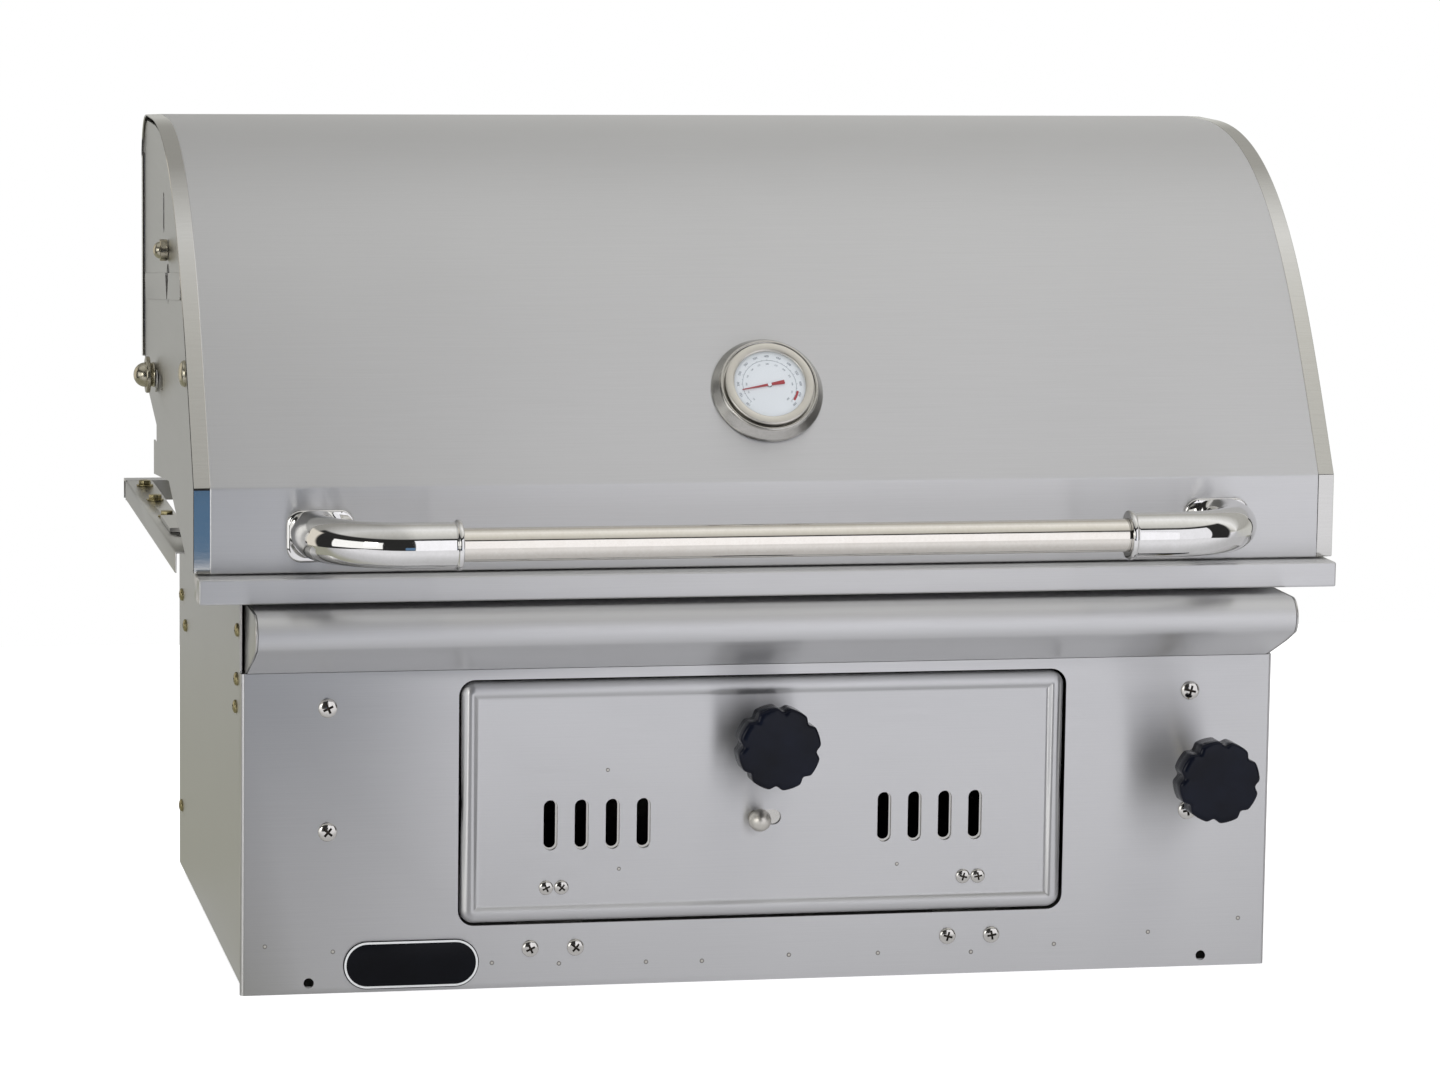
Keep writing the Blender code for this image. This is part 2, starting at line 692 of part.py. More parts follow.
def build_bullnose(body):
    """Bullnose skin and its two flat end caps."""
    half_width = HALF_PANEL - NOSE_END_INSET
    line = nose_line()
    skin = sheet_outline(line, -SHEET)
    body.add("bullnose", prism("X", skin, -half_width + SHEET + SEAT_GAP, half_width - SHEET - SEAT_GAP), BRUSHED)
    for side, word in ((-1, "left"), (1, "right")):
        low, high = sorted((side * half_width, side * (half_width - SHEET)))
        body.add(f"bullnose_cap_{word}", prism("X", line, low, high), BRUSHED)


def build_ledge(body):
    """Front ledge bar, hanger rails, the rail behind and the brackets that carry them."""
    bottom = LEDGE_TOP - LEDGE_HEIGHT
    half = LEDGE_WIDTH / 2
    back = -LEDGE_REACH + LEDGE_DEPTH
    hollow = block((-half + SHEET, -LEDGE_REACH + SHEET, bottom - OVERRUN),
                   (half - SHEET, back - SHEET, LEDGE_TOP - SHEET))
    body.add("ledge_front", block((-half, -LEDGE_REACH, bottom), (half, back, LEDGE_TOP)), BRUSHED,
             cutters=[hollow])
    hanger_bottom = LEDGE_TOP - HANGER_HEIGHT
    inner = HANGER_OUTSIDE - HANGER_WIDTH
    channel = [(HANGER_OUTSIDE, hanger_bottom), (HANGER_OUTSIDE, LEDGE_TOP), (inner, LEDGE_TOP),
               (inner, hanger_bottom), (inner + SHEET, hanger_bottom), (inner + SHEET, LEDGE_TOP - SHEET),
               (HANGER_OUTSIDE - SHEET, LEDGE_TOP - SHEET), (HANGER_OUTSIDE - SHEET, hanger_bottom)]
    upper = LEDGE_TOP - SHEET - SEAT_GAP
    shelf = hanger_bottom - SEAT_GAP
    near = HALF_PANEL + SEAT_GAP
    web = inner + SHEET + SEAT_GAP
    end = HANGER_OUTSIDE - SHEET - SEAT_GAP
    bracket = [(near, BODY_TOP), (near, shelf - BRACKET_SHEET), (web + BRACKET_SHEET, shelf - BRACKET_SHEET),
               (web + BRACKET_SHEET, upper - BRACKET_SHEET), (end, upper - BRACKET_SHEET), (end, upper),
               (web, upper), (web, shelf), (near + BRACKET_SHEET, shelf), (near + BRACKET_SHEET, BODY_TOP)]
    for side, word in ((-1, "left"), (1, "right")):
        rail = [(side * first, second) for first, second in channel]
        body.add(f"hanger_rail_{word}", prism("Y", rail, HANGER_FRONT, HANGER_BACK), BRUSHED)
        shape = [(side * first, second) for first, second in bracket]
        body.add(f"hanger_bracket_{word}", prism("Y", shape, BRACKET_FRONT, BRACKET_BACK), BRUSHED)
    start = HANGER_BACK + SEAT_GAP
    end = start + REAR_RAIL_DEPTH
    rail = [(start, hanger_bottom), (start, LEDGE_TOP), (end, LEDGE_TOP), (end, hanger_bottom),
            (end - SHEET, hanger_bottom), (end - SHEET, LEDGE_TOP - SHEET), (start + SHEET, LEDGE_TOP - SHEET),
            (start + SHEET, hanger_bottom)]
    body.add("rear_rail", prism("X", rail, -HANGER_OUTSIDE, HANGER_OUTSIDE), BRUSHED)


def build_firebox(body):
    """Firebox with its top flange, the rests for the grates and the doorway for the ash pan."""
    half = FIREBOX_WIDTH / 2
    top = LEDGE_TOP
    rest = top - FIREBOX_REST_DROP
    shell = block((-half, FIREBOX_FRONT, FIREBOX_BOTTOM), (half, FIREBOX_BACK, top - SHEET / 2))
    flange = block((-HALF_PANEL + RUNNING_GAP, -LEDGE_REACH + LEDGE_DEPTH + SEAT_GAP, top - SHEET),
                   (HALF_PANEL - RUNNING_GAP, FIREBOX_BACK + SHEET + RAIL_FOOT, top))
    wall = SHEET
    inner_front = FIREBOX_FRONT + wall
    inner_back = FIREBOX_BACK - wall
    lower = block((-half + wall, inner_front, FIREBOX_BOTTOM + wall), (half - wall, inner_back, rest - wall))
    middle = block((-half + wall, inner_front + FIREBOX_REST_WIDTH, rest - OVERRUN),
                   (half - wall, inner_back - FIREBOX_REST_WIDTH, rest + OVERRUN))
    upper = block((-half + wall, inner_front, rest), (half - wall, inner_back, top + OVERRUN))
    margin = DOOR_GAP + FIREBOX_DOORWAY_MARGIN
    doorway = rounded_box((0, DOOR_BOTTOM + DOOR_HEIGHT / 2 + wall), DOOR_WIDTH / 2 + margin,
                          DOOR_HEIGHT / 2 - wall / 2, DOOR_CORNER)
    front_hole = prism("Y", doorway, FIREBOX_FRONT - OVERRUN, inner_front + OVERRUN)
    shaft_hole = rod((0, 1, 0), (SHAFT_PLACE, FIREBOX_FRONT - OVERRUN, SHAFT_HEIGHT),
                     SHAFT_RADIUS + RUNNING_GAP, wall + 2 * OVERRUN)
    body.add("firebox", shell, LINER, additions=[flange], cutters=[lower, middle, upper, front_hole, shaft_hole])
    pan_bottom = FIREBOX_BOTTOM + wall + SEAT_GAP
    pan_top = pan_bottom + ASH_PAN_HEIGHT
    pan_hollow = block((-ASH_PAN_HALF_WIDTH + THIN_SHEET, ASH_PAN_FRONT + THIN_SHEET, pan_bottom + THIN_SHEET),
                       (ASH_PAN_HALF_WIDTH - THIN_SHEET, ASH_PAN_BACK - THIN_SHEET, pan_top + OVERRUN))
    body.add("ash_pan", block((-ASH_PAN_HALF_WIDTH, ASH_PAN_FRONT, pan_bottom),
                              (ASH_PAN_HALF_WIDTH, ASH_PAN_BACK, pan_top)), LINER, cutters=[pan_hollow])


def barred_plate(low, high, bars, bar_width, rail_width, thickness, bottom):
    """A flat grid: bars that run front to back between a front, a middle and a rear rail."""
    width = high[0] - low[0]
    gap = (width - bars * bar_width) / (bars - 1)
    span = high[1] - low[1]
    rails = (low[1], low[1] + (span - rail_width) / 2, high[1] - rail_width)
    holes = []
    for index in range(bars - 1):
        start = low[0] + bar_width + index * (bar_width + gap)
        for first, second in zip(rails, rails[1:]):
            holes.append(block((start, first + rail_width, bottom - OVERRUN),
                               (start + gap, second, bottom + thickness + OVERRUN)))
    plate = block((low[0], low[1], bottom), (high[0], high[1], bottom + thickness))
    return plate, join(holes)


def build_grates(body):
    """Cooking grates side by side on the firebox rests."""
    inner = FIREBOX_WIDTH / 2 - SHEET - GRATE_PLAY
    pitch = 2 * inner / GRATE_COUNT
    bottom = LEDGE_TOP - FIREBOX_REST_DROP + SEAT_GAP
    front = FIREBOX_FRONT + SHEET + GRATE_PLAY
    back = FIREBOX_BACK - SHEET - GRATE_PLAY
    for index, word in enumerate(("left", "centre", "right")):
        start = -inner + index * pitch
        low = (start + GRATE_PLAY / 2, front)
        high = (start + pitch - GRATE_PLAY / 2, back)
        plate, holes = barred_plate(low, high, GRATE_BARS, GRATE_BAR_WIDTH, GRATE_RAIL_WIDTH,
                                    GRATE_THICKNESS, bottom)
        body.add(f"cooking_grate_{word}", plate, DARK_STEEL, cutters=[holes], smooth=False)


def build_baffle_and_rack(body):
    """Fixed baffle behind the grates, with the warming rack on two brackets."""
    foot = LEDGE_TOP + SEAT_GAP
    line = [(BAFFLE_FOOT_BACK, foot), (BAFFLE_FOOT_FRONT, foot), (BAFFLE_PLACE, BAFFLE_SHELF),
            (BAFFLE_PLACE, BAFFLE_TOP)]
    outline = sheet_outline(line, -THIN_SHEET)
    body.add("rear_baffle", prism("X", outline, -BAFFLE_HALF_WIDTH, BAFFLE_HALF_WIDTH), LINER)
    face = BAFFLE_PLACE - SEAT_GAP
    rack_bottom = BAFFLE_TOP + SEAT_GAP
    shelf = rack_bottom - SEAT_GAP
    bracket = [(face, shelf), (face, shelf - RACK_BRACKET_DROP), (face - RACK_BRACKET_NECK,
               shelf - RACK_BRACKET_DROP), (RACK_FRONT, shelf - RACK_BRACKET_NECK), (RACK_FRONT, shelf)]
    for side, word in ((-1, "left"), (1, "right")):
        low = side * RACK_BRACKET_PLACE - RACK_BRACKET_WIDTH / 2
        body.add(f"rack_bracket_{word}", prism("X", bracket, low, low + RACK_BRACKET_WIDTH), LINER)
    plate, holes = barred_plate((-RACK_HALF_WIDTH, RACK_FRONT), (RACK_HALF_WIDTH, RACK_BACK), RACK_BARS,
                                RACK_BAR_WIDTH, RACK_BAR_WIDTH, RACK_THICKNESS, rack_bottom)
    body.add("warming_rack", plate, POLISHED, cutters=[holes], smooth=False)


def build_guides(body):
    """Two fixed channel plates whose upright slots hold the tray's pins."""
    front = FIREBOX_FRONT + SHEET + SEAT_GAP
    back = FIREBOX_BACK - SHEET - SEAT_GAP
    flange = GUIDE_INNER + GUIDE_FLANGE
    outline = [(GUIDE_INNER, front), (flange, front), (flange, front + GUIDE_SHEET),
               (GUIDE_OUTER, front + GUIDE_SHEET), (GUIDE_OUTER, back - GUIDE_SHEET),
               (flange, back - GUIDE_SHEET), (flange, back), (GUIDE_INNER, back)]
    top = PIN_HEIGHT + TRAY_LIFT + PIN_SLOT + GUIDE_MARGIN
    for side, word in ((-1, "left"), (1, "right")):
        shape = [(side * first, second) for first, second in outline]
        low, high = sorted((side * (GUIDE_INNER - GUIDE_SHEET), side * (GUIDE_OUTER + GUIDE_SHEET)))
        cuts = []
        for place in (PIN_FRONT, PIN_BACK):
            slot = tall_slot(place, PIN_HEIGHT - PIN_SLOT, PIN_HEIGHT + TRAY_LIFT + PIN_SLOT, 2 * PIN_SLOT)
            cuts.append(prism("X", slot, low, high))
        if side > 0:
            hole = SHAFT_RADIUS + RUNNING_GAP
            cuts.append(rod((0, 1, 0), (SHAFT_PLACE, front - OVERRUN, SHAFT_HEIGHT), hole,
                            GUIDE_SHEET + 2 * OVERRUN))
            cuts.append(rod((0, 1, 0), (SHAFT_PLACE, back - GUIDE_SHEET - OVERRUN, SHAFT_HEIGHT), hole,
                            GUIDE_SHEET + 2 * OVERRUN))
        body.add(f"lift_guide_{word}", prism("Z", shape, GUIDE_BOTTOM, top), LINER, cutters=[join(cuts)])


def build_lift_frame(frame):
    """Cam frame: two plates with slanted slots, joined by a bridge that carries the nut."""
    slot_low = PIN_HEIGHT - PIN_SLOT
    top = PIN_HEIGHT + TRAY_LIFT + PIN_SLOT + CAM_MARGIN
    front = PIN_FRONT - TRAY_LIFT - PIN_SLOT - CAM_MARGIN
    back = PIN_BACK + PIN_SLOT + CAM_MARGIN
    bridge_top = CAM_BRIDGE_BOTTOM + CAM_BRIDGE_HEIGHT
    bridge_back = CAM_BRIDGE_PLACE + CAM_BRIDGE_DEPTH
    side_outline = [(front, slot_low - CAM_MARGIN), (CAM_BRIDGE_PLACE, slot_low - CAM_MARGIN),
                    (CAM_BRIDGE_PLACE, CAM_BRIDGE_BOTTOM), (bridge_back, CAM_BRIDGE_BOTTOM),
                    (bridge_back, slot_low - CAM_MARGIN), (back, slot_low - CAM_MARGIN), (back, top),
                    (front, top)]
    nut_low = SHAFT_PLACE - NUT_WIDTH / 2
    nut_high = SHAFT_PLACE + NUT_WIDTH / 2
    bridge = block((-CAM_OUTER, CAM_BRIDGE_PLACE, CAM_BRIDGE_BOTTOM), (nut_high, bridge_back, bridge_top))
    left = prism("X", side_outline, -CAM_OUTER, -CAM_INNER)
    right = prism("X", side_outline, CAM_INNER, CAM_OUTER)
    nut_back = CAM_BRIDGE_PLACE + NUT_LENGTH
    nut = block((nut_low, CAM_BRIDGE_PLACE, CAM_BRIDGE_BOTTOM), (nut_high, nut_back, SHAFT_HEIGHT + NUT_ABOVE))
    slots = []
    for place in (PIN_FRONT, PIN_BACK):
        lower = arc((place, PIN_HEIGHT), PIN_SLOT, -135, 45, 6)
        upper = arc((place - TRAY_LIFT, PIN_HEIGHT + TRAY_LIFT), PIN_SLOT, 45, 225, 6)
        for low, high in ((-CAM_OUTER, -CAM_INNER), (CAM_INNER, CAM_OUTER)):
            slots.append(prism("X", lower + upper, low - CAM_SHEET, high + CAM_SHEET))
    bore = rod((0, 1, 0), (SHAFT_PLACE, CAM_BRIDGE_PLACE - OVERRUN, SHAFT_HEIGHT),
               SHAFT_THREAD_RADIUS + SEAT_GAP, NUT_LENGTH + 2 * OVERRUN)
    frame.add("lift_frame", bridge, LINER, additions=[left, right, nut], cutters=[join(slots), bore])


def build_charcoal_tray(tray):
    """Charcoal tray: open pan with long air slots and a pin at each corner."""
    low = (-TRAY_HALF_WIDTH, TRAY_FRONT, TRAY_BOTTOM)
    high = (TRAY_HALF_WIDTH, TRAY_BACK, TRAY_BOTTOM + TRAY_WALL)
    hollow = block((low[0] + TRAY_SHEET, low[1] + TRAY_SHEET, low[2] + TRAY_SHEET),
                   (high[0] - TRAY_SHEET, high[1] - TRAY_SHEET, high[2] + OVERRUN))
    pitch = 2 * TRAY_HALF_WIDTH / (TRAY_SLOTS + 1)
    slots = []
    for index in range(TRAY_SLOTS):
        middle = low[0] + (index + 1) * pitch
        slots.append(block((middle - TRAY_SLOT_WIDTH / 2, low[1] + pitch, low[2] - OVERRUN),
                           (middle + TRAY_SLOT_WIDTH / 2, high[1] - pitch, low[2] + TRAY_SHEET + OVERRUN)))
    pins = []
    start = TRAY_HALF_WIDTH - TRAY_SHEET / 2
    for side in (-1, 1):
        for place in (PIN_FRONT, PIN_BACK):
            pins.append(rod((side, 0, 0), (side * start, place, PIN_HEIGHT), PIN_RADIUS, PIN_END - start, 12))
    tray.add("charcoal_tray", block(low, high), DARK_STEEL, cutters=[hollow, join(slots)], additions=[join(pins)])


def lobed_outline(radius, notch):
    """Outline of a knob with broad lobes and small hollow notches between them."""
    points = []
    step = 360 / KNOB_LOBES
    for lobe in range(KNOB_LOBES):
        for share, depth in zip(KNOB_NOTCH_SHARES, KNOB_NOTCH_DEPTH_SHARES):
            angle = math.radians(KNOB_TURN + (lobe + share) * step)
            reach = radius - notch * depth
            points.append((reach * math.sin(angle), reach * math.cos(angle)))
        middle = sum((KNOB_NOTCH_SHARES[-1], 1 + KNOB_NOTCH_SHARES[0])) / 2
        angle = math.radians(KNOB_TURN + (lobe + middle) * step)
        points.append((radius * math.sin(angle), radius * math.cos(angle)))
    return points


def knob_body(centre, front, hub_end):
    """Lobed knob with a low crown in front and a round hub that reaches back to hub_end."""
    full = lobed_outline(KNOB_RADIUS, KNOB_NOTCH)
    crown = lobed_outline(KNOB_RADIUS - KNOB_CROWN, KNOB_NOTCH)
    levels = ((-front, crown), (-front + KNOB_CROWN, full), (-front + KNOB_DEPTH, full))
    loops = []
    for level, outline in levels:
        loops.append([(centre[0] + first, level, centre[1] + second) for first, second in outline])
    hub = rod((0, 1, 0), (centre[0], -front + KNOB_DEPTH - KNOB_CROWN, centre[1]), KNOB_HUB_RADIUS,
              front - KNOB_DEPTH + KNOB_CROWN - hub_end, ROUND_STEPS)
    return loft(loops), hub


def build_lift_drive(drive):
    """Height knob and the screw shaft behind it."""
    centre = (SHAFT_PLACE, SHAFT_HEIGHT)
    hub_end = LIFT_KNOB_FRONT - KNOB_DEPTH - LIFT_KNOB_HUB
    bore_depth = KNOB_DEPTH - 2 * KNOB_CROWN
    body, hub = knob_body(centre, LIFT_KNOB_FRONT, hub_end)
    bore_start = -LIFT_KNOB_FRONT + KNOB_DEPTH - bore_depth
    bore = rod((0, 1, 0), (SHAFT_PLACE, bore_start, SHAFT_HEIGHT), SHAFT_RADIUS + SEAT_GAP,
               bore_depth + LIFT_KNOB_HUB + OVERRUN)
    drive.add("lift_knob", body, BLACK, additions=[hub], cutters=[bore])
    end = FIREBOX_BACK - SHEET - SEAT_GAP
    profile = [(0, bore_start + SEAT_GAP), (SHAFT_RADIUS, bore_start + SEAT_GAP),
               (SHAFT_RADIUS, SHAFT_THREAD_FRONT), (SHAFT_THREAD_RADIUS, SHAFT_THREAD_FRONT),
               (SHAFT_THREAD_RADIUS, SHAFT_THREAD_BACK), (SHAFT_RADIUS, SHAFT_THREAD_BACK),
               (SHAFT_RADIUS, end), (0, end)]
    shaft = placed(turned(profile, SMALL_ROUND_STEPS), along((0, 1, 0), (SHAFT_PLACE, 0, SHAFT_HEIGHT)))
    drive.add("lift_shaft", shaft, FASTENER)


def door_loop(inset, level):
    """One loop of the door's pan, inset from its outline, at a level of Y."""
    radius = max(DOOR_CORNER - inset, DOOR_CORNER / ROUND_STEPS)
    outline = rounded_box((0, DOOR_BOTTOM + DOOR_HEIGHT / 2), DOOR_WIDTH / 2 - inset, DOOR_HEIGHT / 2 - inset,
                          radius)
    return place_outline("Y", outline, level)


def build_door(door):
    """Door pan with its rounded rim, air slots, ball slot and stud hole."""
    rim = DOOR_RIM_RADIUS
    inner_rim = rim - SHEET
    loops = [door_loop(rim + DOOR_RIM_FLAT + DOOR_RIM_SLOPE, SHEET),
             door_loop(rim + DOOR_RIM_FLAT, -DOOR_RIM_PROUD + SHEET)]
    for inset, level in arc((rim, DOOR_AXIS_PLACE), inner_rim, 270, 180, CORNER_STEPS):
        loops.append(door_loop(inset, level))
    for inset, level in arc((rim, DOOR_AXIS_PLACE), rim, 180, 270, CORNER_STEPS + 1):
        loops.append(door_loop(inset, level))
    loops.append(door_loop(rim + DOOR_RIM_FLAT, -DOOR_RIM_PROUD))
    loops.append(door_loop(rim + DOOR_RIM_FLAT + DOOR_RIM_SLOPE, 0))
    cuts = []
    for side in (-1, 1):
        for index in range(VENT_COUNT):
            slot = tall_slot(side * (VENT_INNER_PLACE + index * VENT_PITCH), VENT_BOTTOM, VENT_TOP, VENT_WIDTH)
            cuts.append(prism("Y", slot, -OVERRUN, SHEET + OVERRUN))
    ball_slot = rounded_box((0, BALL_HEIGHT), BALL_SLOT_LENGTH / 2, BALL_SLOT_WIDTH / 2,
                            BALL_SLOT_WIDTH / 2 - SEAT_GAP)
    cuts.append(prism("Y", ball_slot, -OVERRUN, SHEET + OVERRUN))
    cuts.append(rod((0, 1, 0), (0, -OVERRUN, DOOR_KNOB_HEIGHT), DOOR_KNOB_STUD_RADIUS + SEAT_GAP,
                    SHEET + 2 * OVERRUN))
    door.add("door_panel", loft(loops), BRUSHED, cutters=[join(cuts)])
    body, hub = knob_body((0, DOOR_KNOB_HEIGHT), DOOR_KNOB_FRONT, SEAT_GAP)
    stud_length = SHEET + SEAT_GAP + BALL_NUT_LENGTH
    stud_profile = [(0, -KNOB_CROWN), (DOOR_KNOB_STUD_RADIUS, -KNOB_CROWN), (DOOR_KNOB_STUD_RADIUS, DOOR_INSIDE),
                    (BALL_NUT_RADIUS, DOOR_INSIDE), (BALL_NUT_RADIUS, stud_length), (0, stud_length)]
    stud = placed(turned(stud_profile, SMALL_ROUND_STEPS), along((0, 1, 0), (0, 0, DOOR_KNOB_HEIGHT)))
    door.add("door_knob", body, BLACK, additions=[hub, stud])


def build_damper_guides(door):
    """Two rails on the back of the door that hold the damper plate."""
    half = damper_half_width() + DAMPER_TRAVEL
    lip = DOOR_INSIDE + DAMPER_SHEET + 2 * SEAT_GAP
    for sign, edge, word in ((1, damper_top(), "upper"), (-1, damper_bottom(), "lower")):
        near = edge + sign * SEAT_GAP
        outline = [(DOOR_INSIDE, near), (DOOR_INSIDE, near + sign * RAIL_FOOT),
                   (lip + RAIL_SHEET, near + sign * RAIL_FOOT), (lip + RAIL_SHEET, near - sign * RAIL_LIP),
                   (lip, near - sign * RAIL_LIP), (lip, near)]
        door.add(f"damper_rail_{word}", prism("X", outline, -half, half), LINER)


def damper_half_width():
    """Half the damper plate's width."""
    return VENT_INNER_PLACE + (VENT_COUNT - 1) * VENT_PITCH + VENT_WIDTH / 2 + DAMPER_END_MARGIN


def damper_top():
    """Upper edge of the damper plate."""
    return VENT_TOP + DAMPER_MARGIN


def damper_bottom():
    """Lower edge of the damper plate."""
    return VENT_BOTTOM - DAMPER_MARGIN


def build_damper(damper):
    """Sliding damper plate and the ball that moves it."""
    ball_place = -DAMPER_TRAVEL / 2
    front = DOOR_INSIDE
    back = front + DAMPER_SHEET
    plate = block((-damper_half_width(), front, damper_bottom()), (damper_half_width(), back, damper_top()))
    cuts = []
    for side in (-1, 1):
        for index in range(VENT_COUNT):
            slot = tall_slot(side * (VENT_INNER_PLACE + index * VENT_PITCH), VENT_BOTTOM + DAMPER_VENT_INSET,
                             VENT_TOP - DAMPER_VENT_INSET, VENT_WIDTH - 2 * DAMPER_VENT_INSET)
            cuts.append(prism("Y", slot, front - OVERRUN, back + OVERRUN))
    cuts.append(rod((0, 1, 0), (ball_place, front - OVERRUN, BALL_HEIGHT), BALL_STEM_RADIUS + SEAT_GAP,
                    DAMPER_SHEET + 2 * OVERRUN))
    damper.add("damper_plate", plate, LINER, cutters=[join(cuts)])
    neck = math.sqrt(BALL_RADIUS ** 2 - BALL_STEM_RADIUS ** 2)
    profile = [(0, -BALL_REACH - BALL_RADIUS)]
    steps = 7
    limit = math.degrees(math.atan2(neck, BALL_STEM_RADIUS))
    for step in range(1, steps + 1):
        angle = math.radians(-90 + (90 + limit) * step / steps)
        profile.append((BALL_RADIUS * math.cos(angle), -BALL_REACH + BALL_RADIUS * math.sin(angle)))
    nut = back + SEAT_GAP
    profile += [(BALL_STEM_RADIUS, nut), (BALL_NUT_RADIUS, nut), (BALL_NUT_RADIUS, nut + BALL_NUT_LENGTH),
                (0, nut + BALL_NUT_LENGTH)]
    ball = placed(turned(profile, SMALL_ROUND_STEPS), along((0, 1, 0), (ball_place, 0, BALL_HEIGHT)))
    damper.add("damper_ball", ball, POLISHED)


def build_door_hinges(body, door):
    """Two concealed hinges: a bent bracket with its pin on the panel and a leaf on the door."""
    axis = (DOOR_AXIS_PLACE, DOOR_AXIS_HEIGHT)
    barrel = DOOR_BARREL_RADIUS
    sheet = DOOR_HINGE_SHEET
    for side, word in ((-1, "left"), (1, "right")):
        middle = side * DOOR_HINGE_PLACE
        rear = DOOR_AXIS_PLACE + DOOR_RIM_RADIUS + DOOR_HINGE_REACH
        panel_back = SHEET + SEAT_GAP
        arm_bottom = DOOR_BOTTOM - DOOR_GAP - RAIL_FOOT
        low = DOOR_BOTTOM - DOOR_GAP - DOOR_HINGE_FOOT - RAIL_FOOT
        level = axis[1] + DOOR_HINGE_RISE
        bracket = [(axis[0], axis[1] + sheet / 2), (rear, level + sheet / 2), (rear + sheet, level + sheet / 2),
                   (rear + sheet, arm_bottom - sheet), (panel_back + sheet, arm_bottom - sheet),
                   (panel_back + sheet, low), (panel_back, low), (panel_back, arm_bottom), (rear, arm_bottom),
                   (rear, level - sheet), (axis[0], axis[1] - sheet / 2)]
        half = DOOR_HINGE_WIDTH / 2
        leaf_half = DOOR_LEAF_WIDTH / 2
        slot = block((middle - leaf_half - SEAT_GAP, axis[0] - OVERRUN, axis[1] - barrel - sheet),
                     (middle + leaf_half + SEAT_GAP, axis[0] + barrel + sheet, axis[1] + barrel + sheet))
        knuckles = rod((1, 0, 0), (middle - half, axis[0], axis[1]), barrel, 2 * half, 12)
        pin = rod((1, 0, 0), (middle - leaf_half - OVERRUN, axis[0], axis[1]), DOOR_PIN_RADIUS,
                  2 * (leaf_half + OVERRUN), 12)
        bracket_solid = body.add(f"door_hinge_bracket_{word}", prism("X", bracket, middle - half, middle + half),
                                 LINER, additions=[knuckles], cutters=[slot])
        body._boolean(bracket_solid, pin, f"door_hinge_bracket_{word}_pin", "UNION")
        inside = DOOR_INSIDE
        leaf = [(inside, axis[1]), (axis[0], axis[1] - sheet / 2), (axis[0], axis[1] + sheet / 2),
                (inside + sheet, axis[1] + sheet), (inside + sheet, DOOR_LEAF_TOP), (inside, DOOR_LEAF_TOP)]
        barrel_rod = rod((1, 0, 0), (middle - leaf_half, axis[0], axis[1]), barrel, 2 * leaf_half, 12)
        bore = rod((1, 0, 0), (middle - leaf_half - OVERRUN, axis[0], axis[1]), DOOR_PIN_RADIUS + SEAT_GAP,
                   2 * (leaf_half + OVERRUN), 12)
        door.add(f"door_hinge_leaf_{word}", prism("X", leaf, middle - leaf_half, middle + leaf_half), LINER,
                 additions=[barrel_rod], cutters=[bore])


def build_catch_and_plate(body):
    """Magnet catch behind the top of the doorway, and the blank nameplate at the panel's foot."""
    half = CATCH_WIDTH / 2
    face = SHEET + SEAT_GAP
    top = DOOR_TOP + DOOR_GAP + CATCH_RISE
    rim_back = DOOR_AXIS_PLACE + SEAT_GAP
    outline = [(face, top), (face, DOOR_TOP + DOOR_GAP), (rim_back, DOOR_TOP + DOOR_GAP),
               (rim_back, DOOR_TOP - CATCH_DROP), (rim_back + CATCH_DEPTH, DOOR_TOP - CATCH_DROP),
               (rim_back + CATCH_DEPTH, top)]
    body.add("door_catch", prism("X", outline, -half, half), BLACK)
    plate = rounded_box((-PLATE_PLACE, PLATE_MIDDLE_HEIGHT), PLATE_WIDTH / 2, PLATE_HEIGHT / 2,
                        PLATE_HEIGHT / 2 - SEAT_GAP)
    body.add("nameplate", prism("Y", plate, -SEAT_GAP - PLATE_THICKNESS, -SEAT_GAP), POLISHED)


def lid_curve_point(share):
    """Point and outward normal of the lid's front curve at a share of its run."""
    angle = math.radians(LID_CREASE_ANGLE)
    start = Vector((-LID_FRONT, LID_BOTTOM + LID_BAND))
    end = Vector((LID_BACK - LID_BACK_RADIUS - LID_CROWN_RUN, LID_TOP))
    first = start + LID_LOWER_PULL * Vector((math.sin(angle), math.cos(angle)))
    second = end - LID_UPPER_PULL * Vector((1, 0))
    rest = 1 - share
    point = rest ** 3 * start + 3 * rest ** 2 * share * first + 3 * rest * share ** 2 * second + share ** 3 * end
    slope = rest ** 2 * (first - start) + 2 * rest * share * (second - first) + share ** 2 * (end - second)
    slope.normalize()
    return point, Vector((-slope.y, slope.x))


def lid_line():
    """Outer line of the lid, from its front lip up and over to the foot of its back."""
    line = [(-LID_FRONT, LID_BOTTOM)]
    for step in range(LID_CURVE_STEPS + 1):
        point, _ = lid_curve_point(step / LID_CURVE_STEPS)
        line.append((point.x, point.y))
    corner = (LID_BACK - LID_BACK_RADIUS, LID_TOP - LID_BACK_RADIUS)
    line += arc(corner, LID_BACK_RADIUS, 90, 0, CORNER_STEPS + 1)
    line.append((LID_BACK, LID_BACK_BOTTOM))
    return line


def dial_matrix():
    """Placement of the thermometer: local Z is the lid's outward normal where it sits."""
    point, normal = lid_curve_point(DIAL_ON_CURVE_SHARE)
    return along((0, normal.x, normal.y), (0, point.x, point.y))


